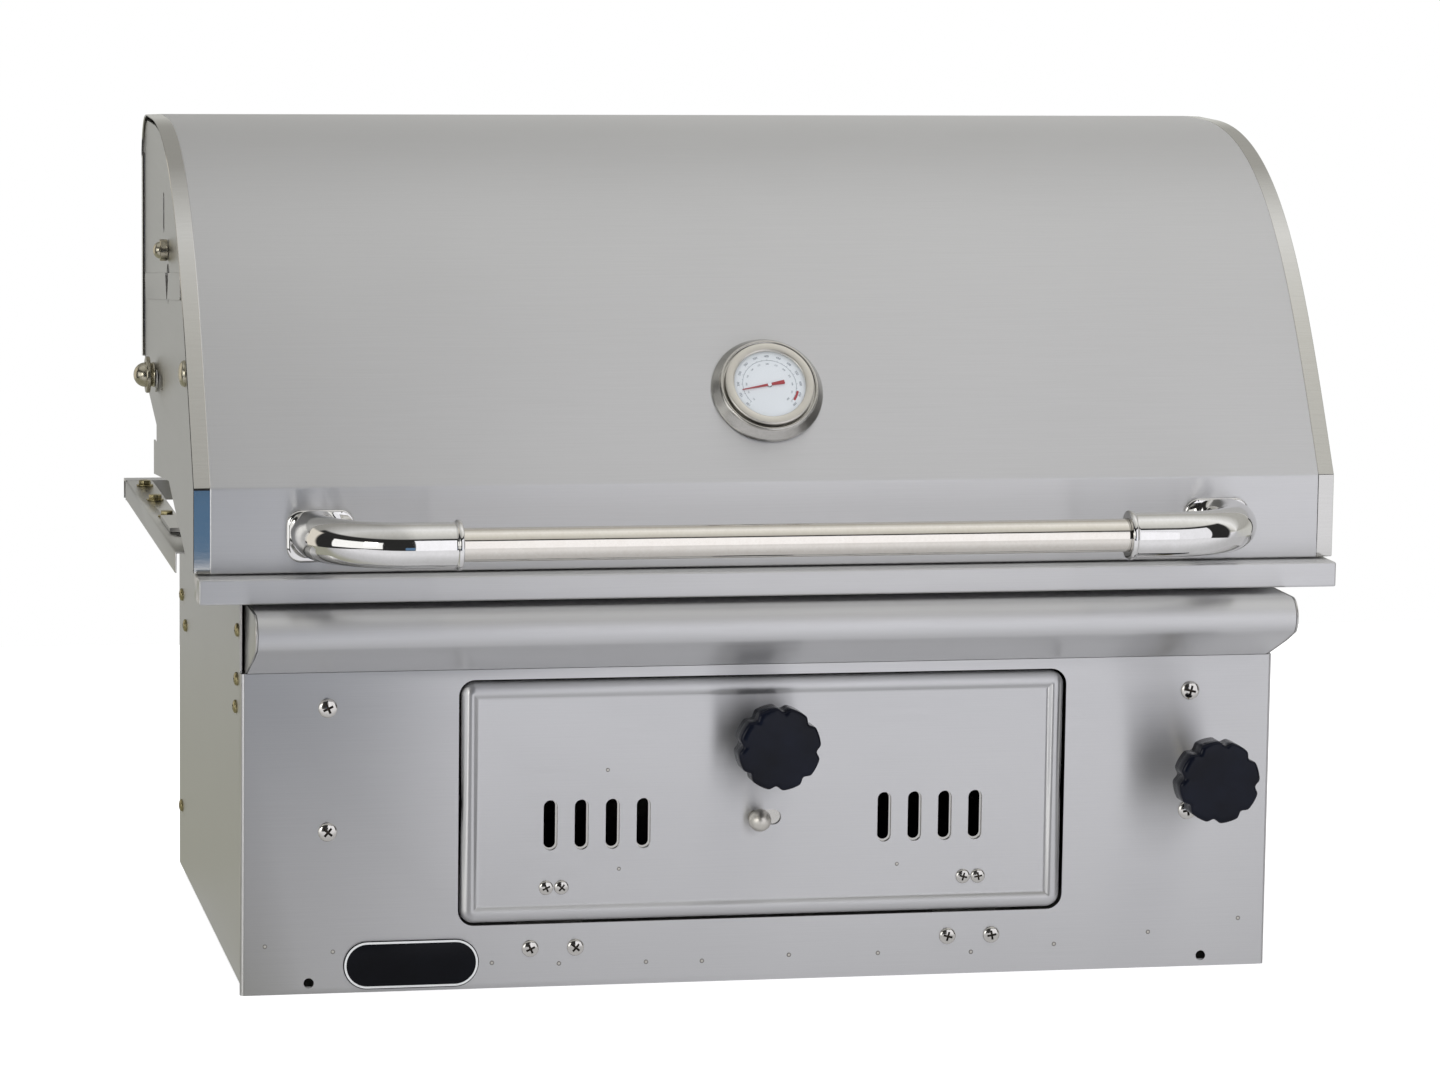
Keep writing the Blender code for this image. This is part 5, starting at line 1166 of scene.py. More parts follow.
@dataclass
class Handle:
    """Bright bar between two polished elbows with collars and rectangular feet."""

    mount: float = 0.3145
    height: float = 0.3181
    foot: float = 0.0233
    foot_half: Point = (0.02275, 0.0175)
    foot_corner: float = 0.010
    foot_inset: float = 0.006
    foot_drop: float = 0.0027
    reach: float = 0.0955
    bend: float = 0.057
    tube_radius: float = 0.0152
    bar_radius: float = 0.0112
    collar: float = 0.225
    collar_radius: float = 0.0167
    collar_length: float = 0.0036
    bend_steps: int = 32
    quarter: int = 18
    # distance from the lid, inset of the plate and share of the tube's round loop
    foot_sections: tuple[tuple[float, float, float], ...] = (
        (0.0, 0.0004, 0.0), (0.0004, 0.0, 0.0), (0.0020, 0.0, 0.0), (0.0027, 0.0003, 0.0),
        (0.0031, 0.0010, 0.0), (0.0033, 0.0020, 0.0), (0.0034, 0.0020, 0.35), (0.0037, 0.0020, 0.58),
        (0.0044, 0.0020, 0.73), (0.0056, 0.0020, 0.85), (0.0074, 0.0020, 0.93), (0.0100, 0.0020, 0.98),
        (0.0130, 0.0020, 1.0))

    def ring(self, centre: Vector, outward: Vector, radius: float) -> list[Vector]:
        """Round loop that starts below its centre and turns outwards first.

        Args:
            centre: Middle of the loop.
            outward: Level direction from the middle to the loop's outer side.
            radius: Radius of the loop.

        Returns:
            Four quarters of points, as the foot's outline has.
        """
        turns = (math.tau * (step + 0.5) / (4 * self.quarter) for step in range(4 * self.quarter))
        return [centre + radius * (outward * math.sin(turn) - Vector((0, 0, math.cos(turn))))
                for turn in turns]

    def foot_loops(self, side: int) -> list[list[Vector]]:
        """Loops of the foot: a pressed plate with round corners that narrows into the tube.

        Args:
            side: -1 for the left foot, 1 for the right one.

        Returns:
            The loops from the lid outwards.
        """
        middle = (self.mount - self.foot_inset, self.height - self.foot_drop)
        loops = []
        for rise, inset, share in self.foot_sections:
            outline = stadium(middle, self.foot_half[0] - inset, self.foot_half[1] - inset,
                              self.foot_corner - inset, self.quarter - 1)
            level = -self.foot - rise
            plate = [Vector((side * place, level, height)) for place, height in outline]
            tube = self.ring(Vector((side * self.mount, level, self.height)), Vector((side, 0, 0)),
                             self.tube_radius)
            loops.append([first.lerp(second, share) for first, second in zip(plate, tube)])
        return loops

    def elbow(self, side: int) -> BMesh:
        """One elbow from its foot to its collar.

        Args:
            side: -1 for the left one, 1 for the right one.

        Returns:
            The closed solid.
        """
        loops = self.foot_loops(side)
        corner = Vector((side * (self.mount - self.bend), -self.reach + self.bend, self.height))
        for step in range(self.bend_steps + 1):
            turn = math.radians(90 * step / self.bend_steps)
            outward = Vector((side * math.cos(turn), -math.sin(turn), 0))
            loops.append(self.ring(corner + self.bend * outward, outward, self.tube_radius))
        start, tube, ring = self.collar, self.tube_radius, self.collar_radius
        end = start + self.collar_length
        for place, radius in ((self.mount - self.bend - 0.0008, tube), (end + 0.0016, tube),
                              (end + 0.0006, tube), (end + 0.0001, tube + 0.0004),
                              (end - 0.0002, ring - 0.0003),
                              (end - 0.0008, ring), (start + 0.0009, ring), (start + 0.0002, ring - 0.0005),
                              (start, ring - 0.0014), (start + 0.0002, self.bar_radius)):
            loops.append(self.ring(Vector((side * place, -self.reach, self.height)), Vector(FORWARD), radius))
        return grown_through(loops)

    def build(self, shop: Workshop) -> None:
        """Makes the elbows and the bar.

        Args:
            shop: Makes and registers the pieces.
        """
        for side, word in SIDES:
            shop.piece(f"handle_bend_{word}", self.elbow(side), shop.palette.chrome, "lid",
                       [f"handle_elbow_{word}"], smooth=50.0)
        bar = spun([(0, 0), (self.bar_radius, 0), (self.bar_radius, 2 * self.collar), (0, 2 * self.collar)],
                   along((1, 0, 0), (-self.collar, -self.reach, self.height)), 96)
        shop.piece("handle_grip", bar, shop.palette.bar, "lid", ["handle_bar"])


@dataclass
class Thermometer:
    """Dial in the lid: cone ring, case and bezel, printed dial, needle and lens."""

    share: float = 0.1622
    window: float = 0.0246
    dial_level: float = 0.0096
    scale_radius: float = 0.0185
    ink: float = 0.00004
    pointing: float = 10.7
    outer_numbers: tuple[int, ...] = tuple(range(100, 701, 50))
    inner_numbers: tuple[int, ...] = tuple(range(50, 351, 25))
    # radius of the numbers' middles and height of their figures
    outer_figures: Point = (0.0215, 0.0022)
    inner_figures: Point = (0.0158, 0.0015)
    zone_angles: Point = (-36, -14)
    sweep: tuple[float, float] = (222.0, -42.0)

    def numbers(self, words: Sequence[int], radius: float, size: float) -> list[BMesh]:
        """Plain numbers round the dial.

        Args:
            words: The numbers, from the start of the scale to its end.
            radius: Radius of their middles.
            size: Height of the figures.

        Returns:
            Thin solids of the figures on the dial's plane.
        """
        made = []
        start, end = (math.radians(angle) for angle in self.sweep)
        for index, word in enumerate(words):
            turn = start + (end - start) * index / (len(words) - 1)
            text = bpy.data.curves.new("figure", "FONT")
            text.body = str(word)
            text.size = size
            text.align_x = "CENTER"
            text.align_y = "CENTER"
            text.extrude = self.ink
            item = bpy.data.objects.new("figure", text)
            bpy.context.scene.collection.objects.link(item)
            graph = bpy.context.evaluated_depsgraph_get()
            mesh = bpy.data.meshes.new_from_object(item.evaluated_get(graph))
            bpy.data.objects.remove(item)
            bpy.data.curves.remove(text)
            spot = (radius * math.cos(turn), radius * math.sin(turn), self.dial_level + self.ink)
            mesh.transform(Matrix.Translation(spot) @ Matrix.Rotation(turn - math.pi / 2, 4, "Z"))
            figure = bmesh.new()
            figure.from_mesh(mesh)
            bpy.data.meshes.remove(mesh)
            made.append(figure)
        return made

    def band(self, inner: float, outer: float, start: float, end: float, rise: float = 0.00006) -> BMesh:
        """Printed arc of the dial between two angles in degrees.

        Args:
            inner: Inner radius.
            outer: Outer radius.
            start: First angle.
            end: Last angle.
            rise: Height above the dial.

        Returns:
            The arc as a thin solid.
        """
        steps = max(2, int(abs(end - start) / 4))
        outline = arc((0, 0), outer, start, end, steps) + arc((0, 0), inner, end, start, steps)
        return prism(Axis.Z, outline, self.dial_level, self.dial_level + rise)

    def ticks(self) -> list[BMesh]:
        """Ticks outside the scale's circle, longer at the numbers.

        Returns:
            Thin bars on the dial.
        """
        made = []
        start, end = self.sweep
        total = 2 * (len(self.outer_numbers) - 1)
        for index in range(total + 1):
            turn = start + (end - start) * index / total
            reach = 0.0011 if index % 2 == 0 else 0.0007
            tick = block((self.scale_radius, -0.00008, self.dial_level),
                         (self.scale_radius + reach, 0.00008, self.dial_level + 0.00005))
            tick.transform(Matrix.Rotation(math.radians(turn), 4, "Z"))
            made.append(tick)
        return made

    def needle(self) -> BMesh:
        """Tapered needle with its broad tail.

        Returns:
            The needle, pointing along local -X.
        """
        upper = [(-0.0195, 0.00022), (-0.0022, 0.00075), (0.0018, 0.0009), (0.0104, 0.0014), (0.0106, 0.0012)]
        lower = [(place, -half) for place, half in reversed(upper)]
        return prism(Axis.Z, lower[-1:] + upper + lower[:-1], 0.0101, 0.0106)

    def build(self, shop: Workshop, lid: Lid) -> None:
        """Makes the thermometer.

        Args:
            shop: Makes and registers the pieces.
            lid: Carries it on its curve.
        """
        point, normal = lid.curve(self.share)
        placement = along((0, normal.x, normal.y), (0, point.x, point.y))
        palette = shop.palette
        ring = [(0.0298, 0.0003), (0.0383, 0.0003), (0.0385, 0.0008), (0.0384, 0.0020), (0.0378, 0.0030)]
        ring += [(0.0378 - 0.0040 * share, 0.0030 + 0.0066 * share) for share in (0.25, 0.5, 0.75, 1.0)]
        ring += [(0.0334, 0.0099), (0.0326, 0.0100), (0.0319, 0.0097), (0.0317, 0.0080), (0.0298, 0.0080)]
        shop.piece("thermometer_cone", spun(ring, placement, 128, True), palette.spun, "lid",
                   ["thermometer_ring"], smooth=40.0)
        case = [(0, -0.030), (0.0046, -0.030), (0.005, -0.0296), (0.005, 0.0003), (0.0293, 0.0003),
                (0.0295, 0.0006), (0.0295, 0.0102), (0.0262, 0.0102), (0.0262, 0.0083), (0, 0.0083)]
        shop.piece("thermometer_housing", spun(case, placement, 96), palette.mill, "lid",
                   ["thermometer_case"], smooth=40.0)
        bezel = [(0.0262, 0.0103), (0.0300, 0.0103), (0.0306, 0.0106), (0.0307, 0.0112), (0.0306, 0.0119),
                 (0.0302, 0.0123), (0.0294, 0.0125), (0.0262, 0.0124), (0.0251, 0.0122), (0.0247, 0.0119),
                 (self.window, 0.0115), (self.window, 0.0108)]
        shop.piece("thermometer_bezel", spun(bezel, placement, 128, True), palette.bezel, "lid",
                   smooth=40.0)
        dial = spun([(0.0018, 0.0086), (0.0258, 0.0086), (0.0258, self.dial_level),
                     (0.0018, self.dial_level)], placement, 96, True)
        shop.piece("thermometer_face", dial, palette.print_ground, "lid", ["thermometer_dial"])
        ink = self.numbers(self.outer_numbers, *self.outer_figures)
        ink += self.numbers(self.inner_numbers, *self.inner_figures)
        start, end = self.sweep
        ink += self.ticks() + [self.band(self.scale_radius - 0.0001, self.scale_radius + 0.0001, end, start)]
        print_work = merged(ink)
        print_work.transform(placement)
        shop.piece("thermometer_scale", print_work, palette.print_ink, "lid")
        zone = self.band(self.scale_radius + 0.0003, self.scale_radius + 0.0019, *self.zone_angles)
        zone.transform(placement)
        shop.piece("thermometer_hot_zone", zone, palette.red, "lid")
        pointer = self.needle()
        pointer.transform(placement @ Matrix.Rotation(math.radians(self.pointing), 4, "Z"))
        hub = spun([(0, 0.0090), (0.0012, 0.0090), (0.0012, 0.0106), (0.0014, 0.0107), (0.0012, 0.0109),
                    (0, 0.0110)], placement, 24)
        shop.piece("thermometer_pointer", pointer, palette.red, "needle",
                   ["thermometer_needle"])
        shop.piece("thermometer_pointer_hub", hub, palette.print_ground, "needle")
        lens = spun([(0, 0.0112), (0.0258, 0.0112), (0.0258, 0.0121), (0, 0.0122)], placement, 96)
        shop.piece("thermometer_window", lens, palette.glass, "lid", ["thermometer_lens"])


@dataclass
class Bullnose:
    """Folded nose above the front panel with its two end caps."""

    end: float = 0.3562
    centre: Point = (-0.0525, 0.2545)
    radius: float = 0.0135
    sheet: float = 0.0015
    cap_overlap: float = 0.0018
    cap_edge: float = 0.0004
    start: Point = (0.0, 0.2198)
    knee: Point = (-0.043, 0.2363)
    knee_bend: float = 0.008
    finish: Point = (0.0044, 0.268)

    def line(self) -> list[Point]:
        """Outer line from the panel's top round the nose and back over it.

        Returns:
            Places behind the panel and heights.
        """
        nose = arc(self.centre, self.radius, 225, 90, 28)
        return [self.start] + fillet(self.start, self.knee, nose[0], self.knee_bend, 6) + nose + [self.finish]

    def build(self, shop: Workshop) -> None:
        """Makes the nose and its caps.

        Args:
            shop: Makes and registers the pieces.
        """
        shape = swept(self.line(), self.end - self.cap_overlap, Vector((0, -1, 1)))[0]
        shop.piece("bullnose_skin", shape, shop.palette.sheet_across, "body", ["bullnose"],
                   smooth=30.0, thickness=self.sheet)
        for side, word in SIDES:
            low, high = slab(side, self.end, self.sheet)
            cap = soften(prism(Axis.X, self.line(), low, high), self.cap_edge, 60.0, 2)
            shop.piece(f"bullnose_end_{word}", cap, shop.palette.sheet_back, "body",
                       [f"bullnose_cap_{word}"])


@dataclass
class FrontPanel:
    """Front panel with its bends and holes, screws, spot welds and the bare badge."""

    half_width: float = 0.359
    height: float = 0.2195
    edge_radius: float = 0.003
    back: float = 0.0169
    sheet: float = 0.0015
    shaft_hole: float = 0.0065
    low_hole_radius: float = 0.0035
    low_hole: Point = (0.3128, 0.0074)
    door_half: Point = (0.2115, 0.0845)
    door_middle: float = 0.128
    door_corner: float = 0.011
    badge: Point = (-0.2432, 0.0187)
    badge_halves: tuple[Point, ...] = ((0.04625, 0.0165), (0.0456, 0.0159), (0.0442, 0.0145))
    guide_screw: float = 0.0065
    hinge_screw: float = 0.0058
    weld: float = 0.0016
    guide_screws: tuple[Point, ...] = ((-0.3003, 0.1954), (-0.3003, 0.111), (0.3003, 0.1954),
                                       (0.3003, 0.111))
    hinge_screws: tuple[Point, ...] = ((-0.1616, 0.0268), (-0.1304, 0.0268), (0.1304, 0.0268),
                                       (0.1616, 0.0268))
    welds: tuple[Point, ...] = ((-0.3425, 0.0335), (-0.2965, 0.0286), (-0.1879, 0.0176), (-0.1417, 0.0158),
                                (-0.0814, 0.0150), (-0.0424, 0.0145), (0.0185, 0.0168), (0.0813, 0.0162),
                                (0.1474, 0.0149), (0.2067, 0.0187), (0.2743, 0.0252), (0.3394, 0.0332))

    def sheet_outline(self) -> list[Point]:
        """Section of the panel seen from above, with its side returns.

        Returns:
            Places sideways and behind its face.
        """
        half, inside = self.half_width, self.half_width - 0.0018
        right = arc((half - self.edge_radius, self.edge_radius), self.edge_radius, -90, 0, 10)
        right += [(half, 0.0044), (inside, 0.0044), (inside, self.back), (inside - self.sheet, self.back),
                  (inside - self.sheet, self.edge_radius), (inside - 0.0028, self.sheet)]
        return right + [(-first, second) for first, second in reversed(right)]

    def build(self, shop: Workshop) -> None:
        """Makes the panel and what is fixed to its face.

        Args:
            shop: Makes and registers the pieces.
        """
        openings = [stadium((0, self.door_middle), *self.door_half, self.door_corner),
                    arc(SHAFT, self.shaft_hole, 0, 352.5, 47)]
        openings += [arc((side * self.low_hole[0], self.low_hole[1]), self.low_hole_radius, 0, 350, 35)
                     for side in (-1, 1)]
        cuts = [prism(Axis.Y, opening, *PANEL_CUT) for opening in openings]
        panel = carved(prism(Axis.Z, self.sheet_outline(), 0, self.height), cuts)
        shop.piece("front_sheet", panel, shop.palette.sheet_across, "body", ["front_panel"])
        heads = [Screws.sized(self.guide_screw).on_front(self.guide_screws),
                 Screws.sized(self.hinge_screw).on_front(self.hinge_screws)]
        # the cross recesses take the dark steel: painted shade inside the recess
        shop.piece("panel_screws", merged(heads), [shop.palette.plated, shop.palette.hot], "body")
        welds = copies(weld_mark(self.weld), [along(FORWARD, (x, 0, z)) for x, z in self.welds])
        shop.piece("panel_spot_welds", welds, [shop.palette.mill, shop.palette.bezel], "body",
                   smooth=60.0)
        self.build_badge(shop)

    def build_badge(self, shop: Workshop) -> None:
        """Makes the bare badge: a black plate with a white border line.

        Args:
            shop: Makes and registers the pieces.
        """
        edge, outer, inner = (stadium(self.badge, half_width, half_height, half_height - 0.0001, 16)
                              for half_width, half_height in self.badge_halves)
        plate = soften(prism(Axis.Y, edge, -0.0013, -0.0003), 0.0003, 60.0, 3)
        for face in plate.faces:
            face.material_index = 1
        line = carved(prism(Axis.Y, outer, -0.0015, -0.0010), [prism(Axis.Y, inner, -0.003, 0.0)])
        shop.piece("badge", merged([line, plate]), [shop.palette.print_ground, shop.palette.enamel], "body",
                   ["nameplate"])


@dataclass
class Ledge:
    """Front ledge bar that the lid closes on."""

    half: float = 0.3907
    low: Point = (-0.0393, 0.2723)
    high: Point = (-0.009, 0.2893)
    bend: float = 0.0013
    edge_strip: float = 0.0016
    sheet: float = 0.0015

    def build(self, shop: Workshop) -> None:
        """Makes the bar as a folded channel, open below.

        Args:
            shop: Makes and registers the pieces.
        """
        outer = block((-self.half, *self.low), (self.half, *self.high))
        soften(outer, self.bend, segments=4)
        keep_flat(outer, self.edge_strip)
        inner = block((-self.half + self.sheet, self.low[0] + self.sheet, self.low[1] - 0.002),
                      (self.half - self.sheet, self.high[0] - self.sheet, self.high[1] - self.sheet))
        shop.piece("ledge_bar", carved(outer, [inner]), shop.palette.sheet_across, "body",
                   ["ledge_front"])


@dataclass
class Knob:
    """Lobed knob of moulded plastic with a low crown and a round hub."""

    centre: Point
    front: float
    hub_end: float
    radius: float = 0.0285
    notch: float = 0.0028
    lobes: int = 8
    depth: float = 0.020
    first: float = 0.0

    def outline(self, inset: float = 0.0) -> list[Point]:
        """Outline with broad lobes and small round notches.

        Args:
            inset: How far it is moved inwards.

        Returns:
            Points round the knob's centre.
        """
        points = []
        steps = 20
        for index in range(self.lobes * steps):
            phase = (index % steps) / steps
            distance = min(phase, 1 - phase)
            dip = 0.5 + 0.5 * math.cos(math.pi * min(distance / 0.25, 1.0))
            reach = self.radius - inset - self.notch * dip
            turn = math.tau * index / (self.lobes * steps) + math.radians(self.first)
            points.append((self.centre[0] + reach * math.sin(turn), self.centre[1] + reach * math.cos(turn)))
        return points

    def shape(self) -> BMesh:
        """Knob body with its crown, moulded skirt and hub.

        Returns:
            The closed solid.
        """
        sections = ((0.0002, 0.0185), (0.0002, 0.0050), (0.0003, 0.0028), (0.0006, 0.0016), (0.0011, 0.0007),
                    (0.0018, 0.0002), (0.0028, 0.0), (self.depth - 0.0010, 0.0), (self.depth, 0.0008))
        shape = loft(Axis.Y, [(-self.front + back, self.outline(inset)) for back, inset in sections])
        start = self.front - self.depth + 0.002
        hub = spun([(0, start), (0.0130, start), (0.0130, self.hub_end + 0.0008), (0.0122, self.hub_end),
                    (0, self.hub_end)], along(FORWARD, (self.centre[0], 0, self.centre[1])), 48)
        return merged([shape, hub])


@dataclass
class Door:
    """Access door: pan with a rolled rim, air slots, screws, ball and knob."""

    half: Point = (0.210, 0.083)
    middle: float = 0.128
    corner: float = 0.0095
    rim: float = 0.007
    proud: float = 0.0022
    sheet: float = 0.0015
    first_slot: float = 0.0841
    pitch: float = 0.0214
    slot_width: float = 0.0097
    slot_low: float = 0.0942
    slot_high: float = 0.1289
    plate_end: float = 0.0112
    plate_margin: float = 0.0063
    plate_shift: float = 0.0006
    ball_height: float = 0.1135
    ball_place: float = -0.00535
    ball_front: float = -0.0105
    ball_slot_half: Point = (0.0115, 0.00525)
    ball_radius: float = 0.00775
    knob: Point = (0.0, 0.1690)
    hinge_screw: float = 0.0050
    mark: float = 0.0014
    hinge_screws: tuple[Point, ...] = ((-0.1511, 0.0686), (-0.1405, 0.0686), (0.1405, 0.0686),
                                       (0.1511, 0.0686))
    marks: tuple[Point, ...] = ((-0.1092, 0.1489), (-0.1009, 0.0803), (0.0936, 0.0784))

    def slot(self, middle: float, grow: float = 0.0, rise: float = 0.0) -> list[Point]:
        """Outline of one air slot.

        Args:
            middle: Its middle, sideways.
            grow: How much larger it is all round.
            rise: How much higher it is.

        Returns:
            The outline.
        """
        height = (self.slot_low + self.slot_high) / 2 + rise
        half_height = (self.slot_high - self.slot_low) / 2 + grow
        half_width = self.slot_width / 2 + grow
        return stadium((middle, height), half_width, half_height, half_width - 0.00005, 10)

    def slots(self) -> list[float]:
        """Middles of the eight air slots."""
        return [side * (self.first_slot + self.pitch * index) for side in (-1, 1) for index in range(4)]

    def pan(self) -> BMesh:
        """Pan with its rolled rim and its openings.

        Returns:
            The closed solid.
        """
        back = self.rim - self.proud
        profile = [(self.rim + 0.0045, self.sheet), (self.rim + 0.0015, -self.proud + self.sheet)]
        profile += arc((self.rim, back), self.rim - self.sheet, 270, 180, 10)
        profile += arc((self.rim, back), self.rim, 180, 270, 14)
        crest, foot = (self.rim + 0.0015, -self.proud), (self.rim + 0.0045, 0)
        profile += fillet((self.rim, -self.proud), crest, foot, 0.0012)
        profile += fillet(crest, foot, (self.rim + 0.012, 0), 0.0012)
        shape = loft(Axis.Y, [
            (level, stadium((0, self.middle), self.half[0] - inset, self.half[1] - inset,
                            max(self.corner - inset, 0.0006), 10)) for inset, level in profile])
        openings = [self.slot(middle) for middle in self.slots()]
        half_width, half_height = self.ball_slot_half
        openings.append(stadium((0, self.ball_height), half_width, half_height, half_height - 0.00005, 12))
        return carved(shape, [prism(Axis.Y, opening, *PANEL_CUT) for opening in openings])

    def build(self, shop: Workshop) -> None:
        """Makes the door and what moves with it.

        Args:
            shop: Makes and registers the pieces.
        """
        palette = shop.palette
        shop.piece("door_pan", self.pan(), palette.sheet_across, "door", ["door_panel"],
                   smooth=30.0)
        # the cross recesses take the dark steel: painted shade inside the recess
        shop.piece("door_screws", Screws.sized(self.hinge_screw).on_front(self.hinge_screws),
                   [palette.plated, palette.hot], "door")
        marks = copies(weld_mark(self.mark), [along(FORWARD, (x, 0, z)) for x, z in self.marks])
        shop.piece("door_marks", marks, [palette.mill, palette.bezel], "door", smooth=60.0)
        knob = Knob(self.knob, front=0.049, hub_end=-0.0003, first=5.0)
        stud = self.stud(back=-0.0038, head=-0.0018, place=self.knob)
        shop.piece("door_pull", merged([knob.shape(), stud]), palette.plastic, "door",
                   ["door_knob"], smooth=40.0)
        self.build_damper(shop)

    def stud(self, back: float, head: float, place: Point) -> BMesh:
        """Stud through the door with a wider head behind it.

        Args:
            back: Level of the head's back.
            head: Level of the head's front.
            place: Its place on the door.

        Returns:
            The closed solid.
        """
        wide, narrow, front = 0.0055, 0.003, 0.004
        profile = [(0, back), (wide, back), (wide, head), (narrow, head), (narrow, front), (0, front)]
        return spun(profile, along(FORWARD, (place[0], 0, place[1])), 24)

    def build_damper(self, shop: Workshop) -> None:
        """Makes the sliding plate behind the slots and its ball.

        Args:
            shop: Makes and registers the pieces.
        """
        half = self.first_slot + 3 * self.pitch + self.slot_width / 2 + self.plate_end
        plate = block((-half, 0.0018, self.slot_low - self.plate_margin),
                      (half, 0.0028, self.slot_high + self.plate_margin))
        cuts = [prism(Axis.Y, self.slot(middle - self.plate_shift, grow=-0.0008, rise=0.0009), *PANEL_CUT)
                for middle in self.slots()]
        shop.piece("damper_sheet", carved(plate, cuts), shop.palette.spun, "damper",
                   ["damper_plate"])
        ball = bmesh.new()
        bmesh.ops.create_uvsphere(ball, u_segments=48, v_segments=32, radius=self.ball_radius,
                                  matrix=Matrix.Translation((self.ball_place, self.ball_front,
                                                             self.ball_height)))
        stem = self.stud(back=-0.0053, head=-0.0031, place=(self.ball_place, self.ball_height))
        shop.piece("damper_grip", merged([ball, stem]), shop.palette.bezel, "damper",
                   ["damper_ball"], smooth=40.0)


@dataclass
class HeightDrive:
    """Knob at the right of the panel and the shaft that it turns."""

    radius: float = 0.0060
    front: float = 0.060
    thread_start: float = -0.045
    thread_end: float = -0.300
    back: float = -0.3522
    crests: int = 60
    crest: tuple[Point, ...] = ((0.0002, 0.0), (0.0008, 0.0015), (0.0008, 0.0024), (0.0, 0.0038))

    def build(self, shop: Workshop) -> None:
        """Makes the knob and the threaded shaft.

        Args:
            shop: Makes and registers the pieces.
        """
        knob = Knob(SHAFT, front=0.072, hub_end=0.040, first=7.5)
        shop.piece("height_knob_body", knob.shape(), shop.palette.plastic, "lift_drive",
                   ["lift_knob"], smooth=40.0)
        profile = [(0, self.front), (self.radius - 0.0002, self.front), (self.radius, self.front - 0.0002),
                   (self.radius, self.thread_start)]
        for index in range(self.crests):
            start = self.thread_start + (self.thread_end - self.thread_start) * index / self.crests
            profile += [(self.radius + rise, start - run) for rise, run in self.crest]
        profile += [(self.radius, self.thread_end), (self.radius, self.back), (0, self.back)]
        shaft = spun(profile, along(FORWARD, (SHAFT[0], 0, SHAFT[1])), 24)
        shop.piece("height_screw", shaft, shop.palette.fastener, "lift_drive",
                   ["lift_shaft"], smooth=30.0)


@dataclass
class Body:
    """Hanger rails with their screws and the screws along the body's sides."""

    outside: float = 0.3937
    width: float = 0.0204
    top: float = 0.2893
    drop: float = 0.015
    start: float = 0.0966
    end: float = 0.4786
    rail_screws: tuple[float, ...] = (0.275, 0.365, 0.448)
    rail_hole: float = 0.172
    rail_hole_radius: float = 0.0032
    rail_middle: float = 0.3820
    sheet: float = 0.0015
    bend: float = 0.0012
    overrun: float = 0.01
    side_face: float = 0.359
    side_screws: tuple[Point, ...] = ((0.398, 0.214), (0.371, 0.195), (0.017, 0.247), (0.022, 0.213),
                                      (0.029, 0.193), (0.401, 0.0545))

    def build(self, shop: Workshop) -> None:
        """Makes the rails and the screws.

        Args:
            shop: Makes and registers the pieces.
        """
        screws = Screws()
        for side, word in SIDES:
            middle = side * self.rail_middle
            low, high = slab(side, self.outside, self.width)
            outer = block((low, self.start, self.top - self.drop), (high, self.end, self.top))
            soften(outer, self.bend, segments=3)
            inner = block((low + self.sheet, self.start - self.overrun, self.top - self.drop - self.overrun),
                          (high - self.sheet, self.end + self.overrun, self.top - self.sheet))
            hole = prism(Axis.Z, arc((middle, self.rail_hole), self.rail_hole_radius, 0, 350, 35),
                         self.top - self.overrun, self.top + self.overrun)
            rail = carved(carved(outer, [inner]), [hole])
            shop.piece(f"hanger_channel_{word}", rail, shop.palette.sheet_back, "body",
                       [f"hanger_rail_{word}"])
            places = [(middle, place, self.top) for place in self.rail_screws]
            shop.piece(f"hanger_screws_{word}", screws.group(screws.hex_head(), (0, 0, 1), places),
                       shop.palette.brass, "body")
            places = [(side * self.side_face, place, height) for place, height in self.side_screws]
            # the cross recesses take the dark steel: painted shade inside the recess
            shop.piece(f"side_screws_{word}", screws.group(screws.cross_head(), (side, 0, 0), places),
                       [shop.palette.brass, shop.palette.hot], "body")


def dress_nodes(nodes: dict[str, Object], record: dict[str, Any], palette: Palette) -> None:
    """Gives each CAD node the finish of its material slot.

    Args:
        nodes: CAD objects by name.
        record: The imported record.
        palette: The finishes.
    """
    by_slot = {
        "brushed_shell": palette.sheet_across, "liner_steel": palette.mill, "polished_steel": palette.chrome,
        "fastener_steel": palette.fastener, "dark_steel": palette.hot, "black_plastic": palette.plastic,
        "dial_face": palette.print_ground, "needle_red": palette.red, "lens_glass": palette.glass}
    backwards = ("body_side", "hanger", "hinge_arm")
    for subpart in record["subparts"]:
        item = nodes[subpart["node"]]
        finish = by_slot[subpart["material_slot"]]
        if subpart["node"].startswith(backwards):
            finish = palette.sheet_back
        item.data.materials.clear()
        item.data.materials.append(finish)
        LOG.info("%s takes %s", subpart["node"], finish.name)


# Camera, light and floor


SMOOTH = {"interpolation_type": "SMOOTHSTEP"}


@dataclass(frozen=True)
class Card:
    """One soft-edged area of the studio round the grill, as the metal mirrors it.

    Azimuths and heights are in degrees, azimuths from straight ahead of the grill to its
    right.
    """

    azimuth: Point
    height: Point
    soft: float
    colour: str
    strength: float


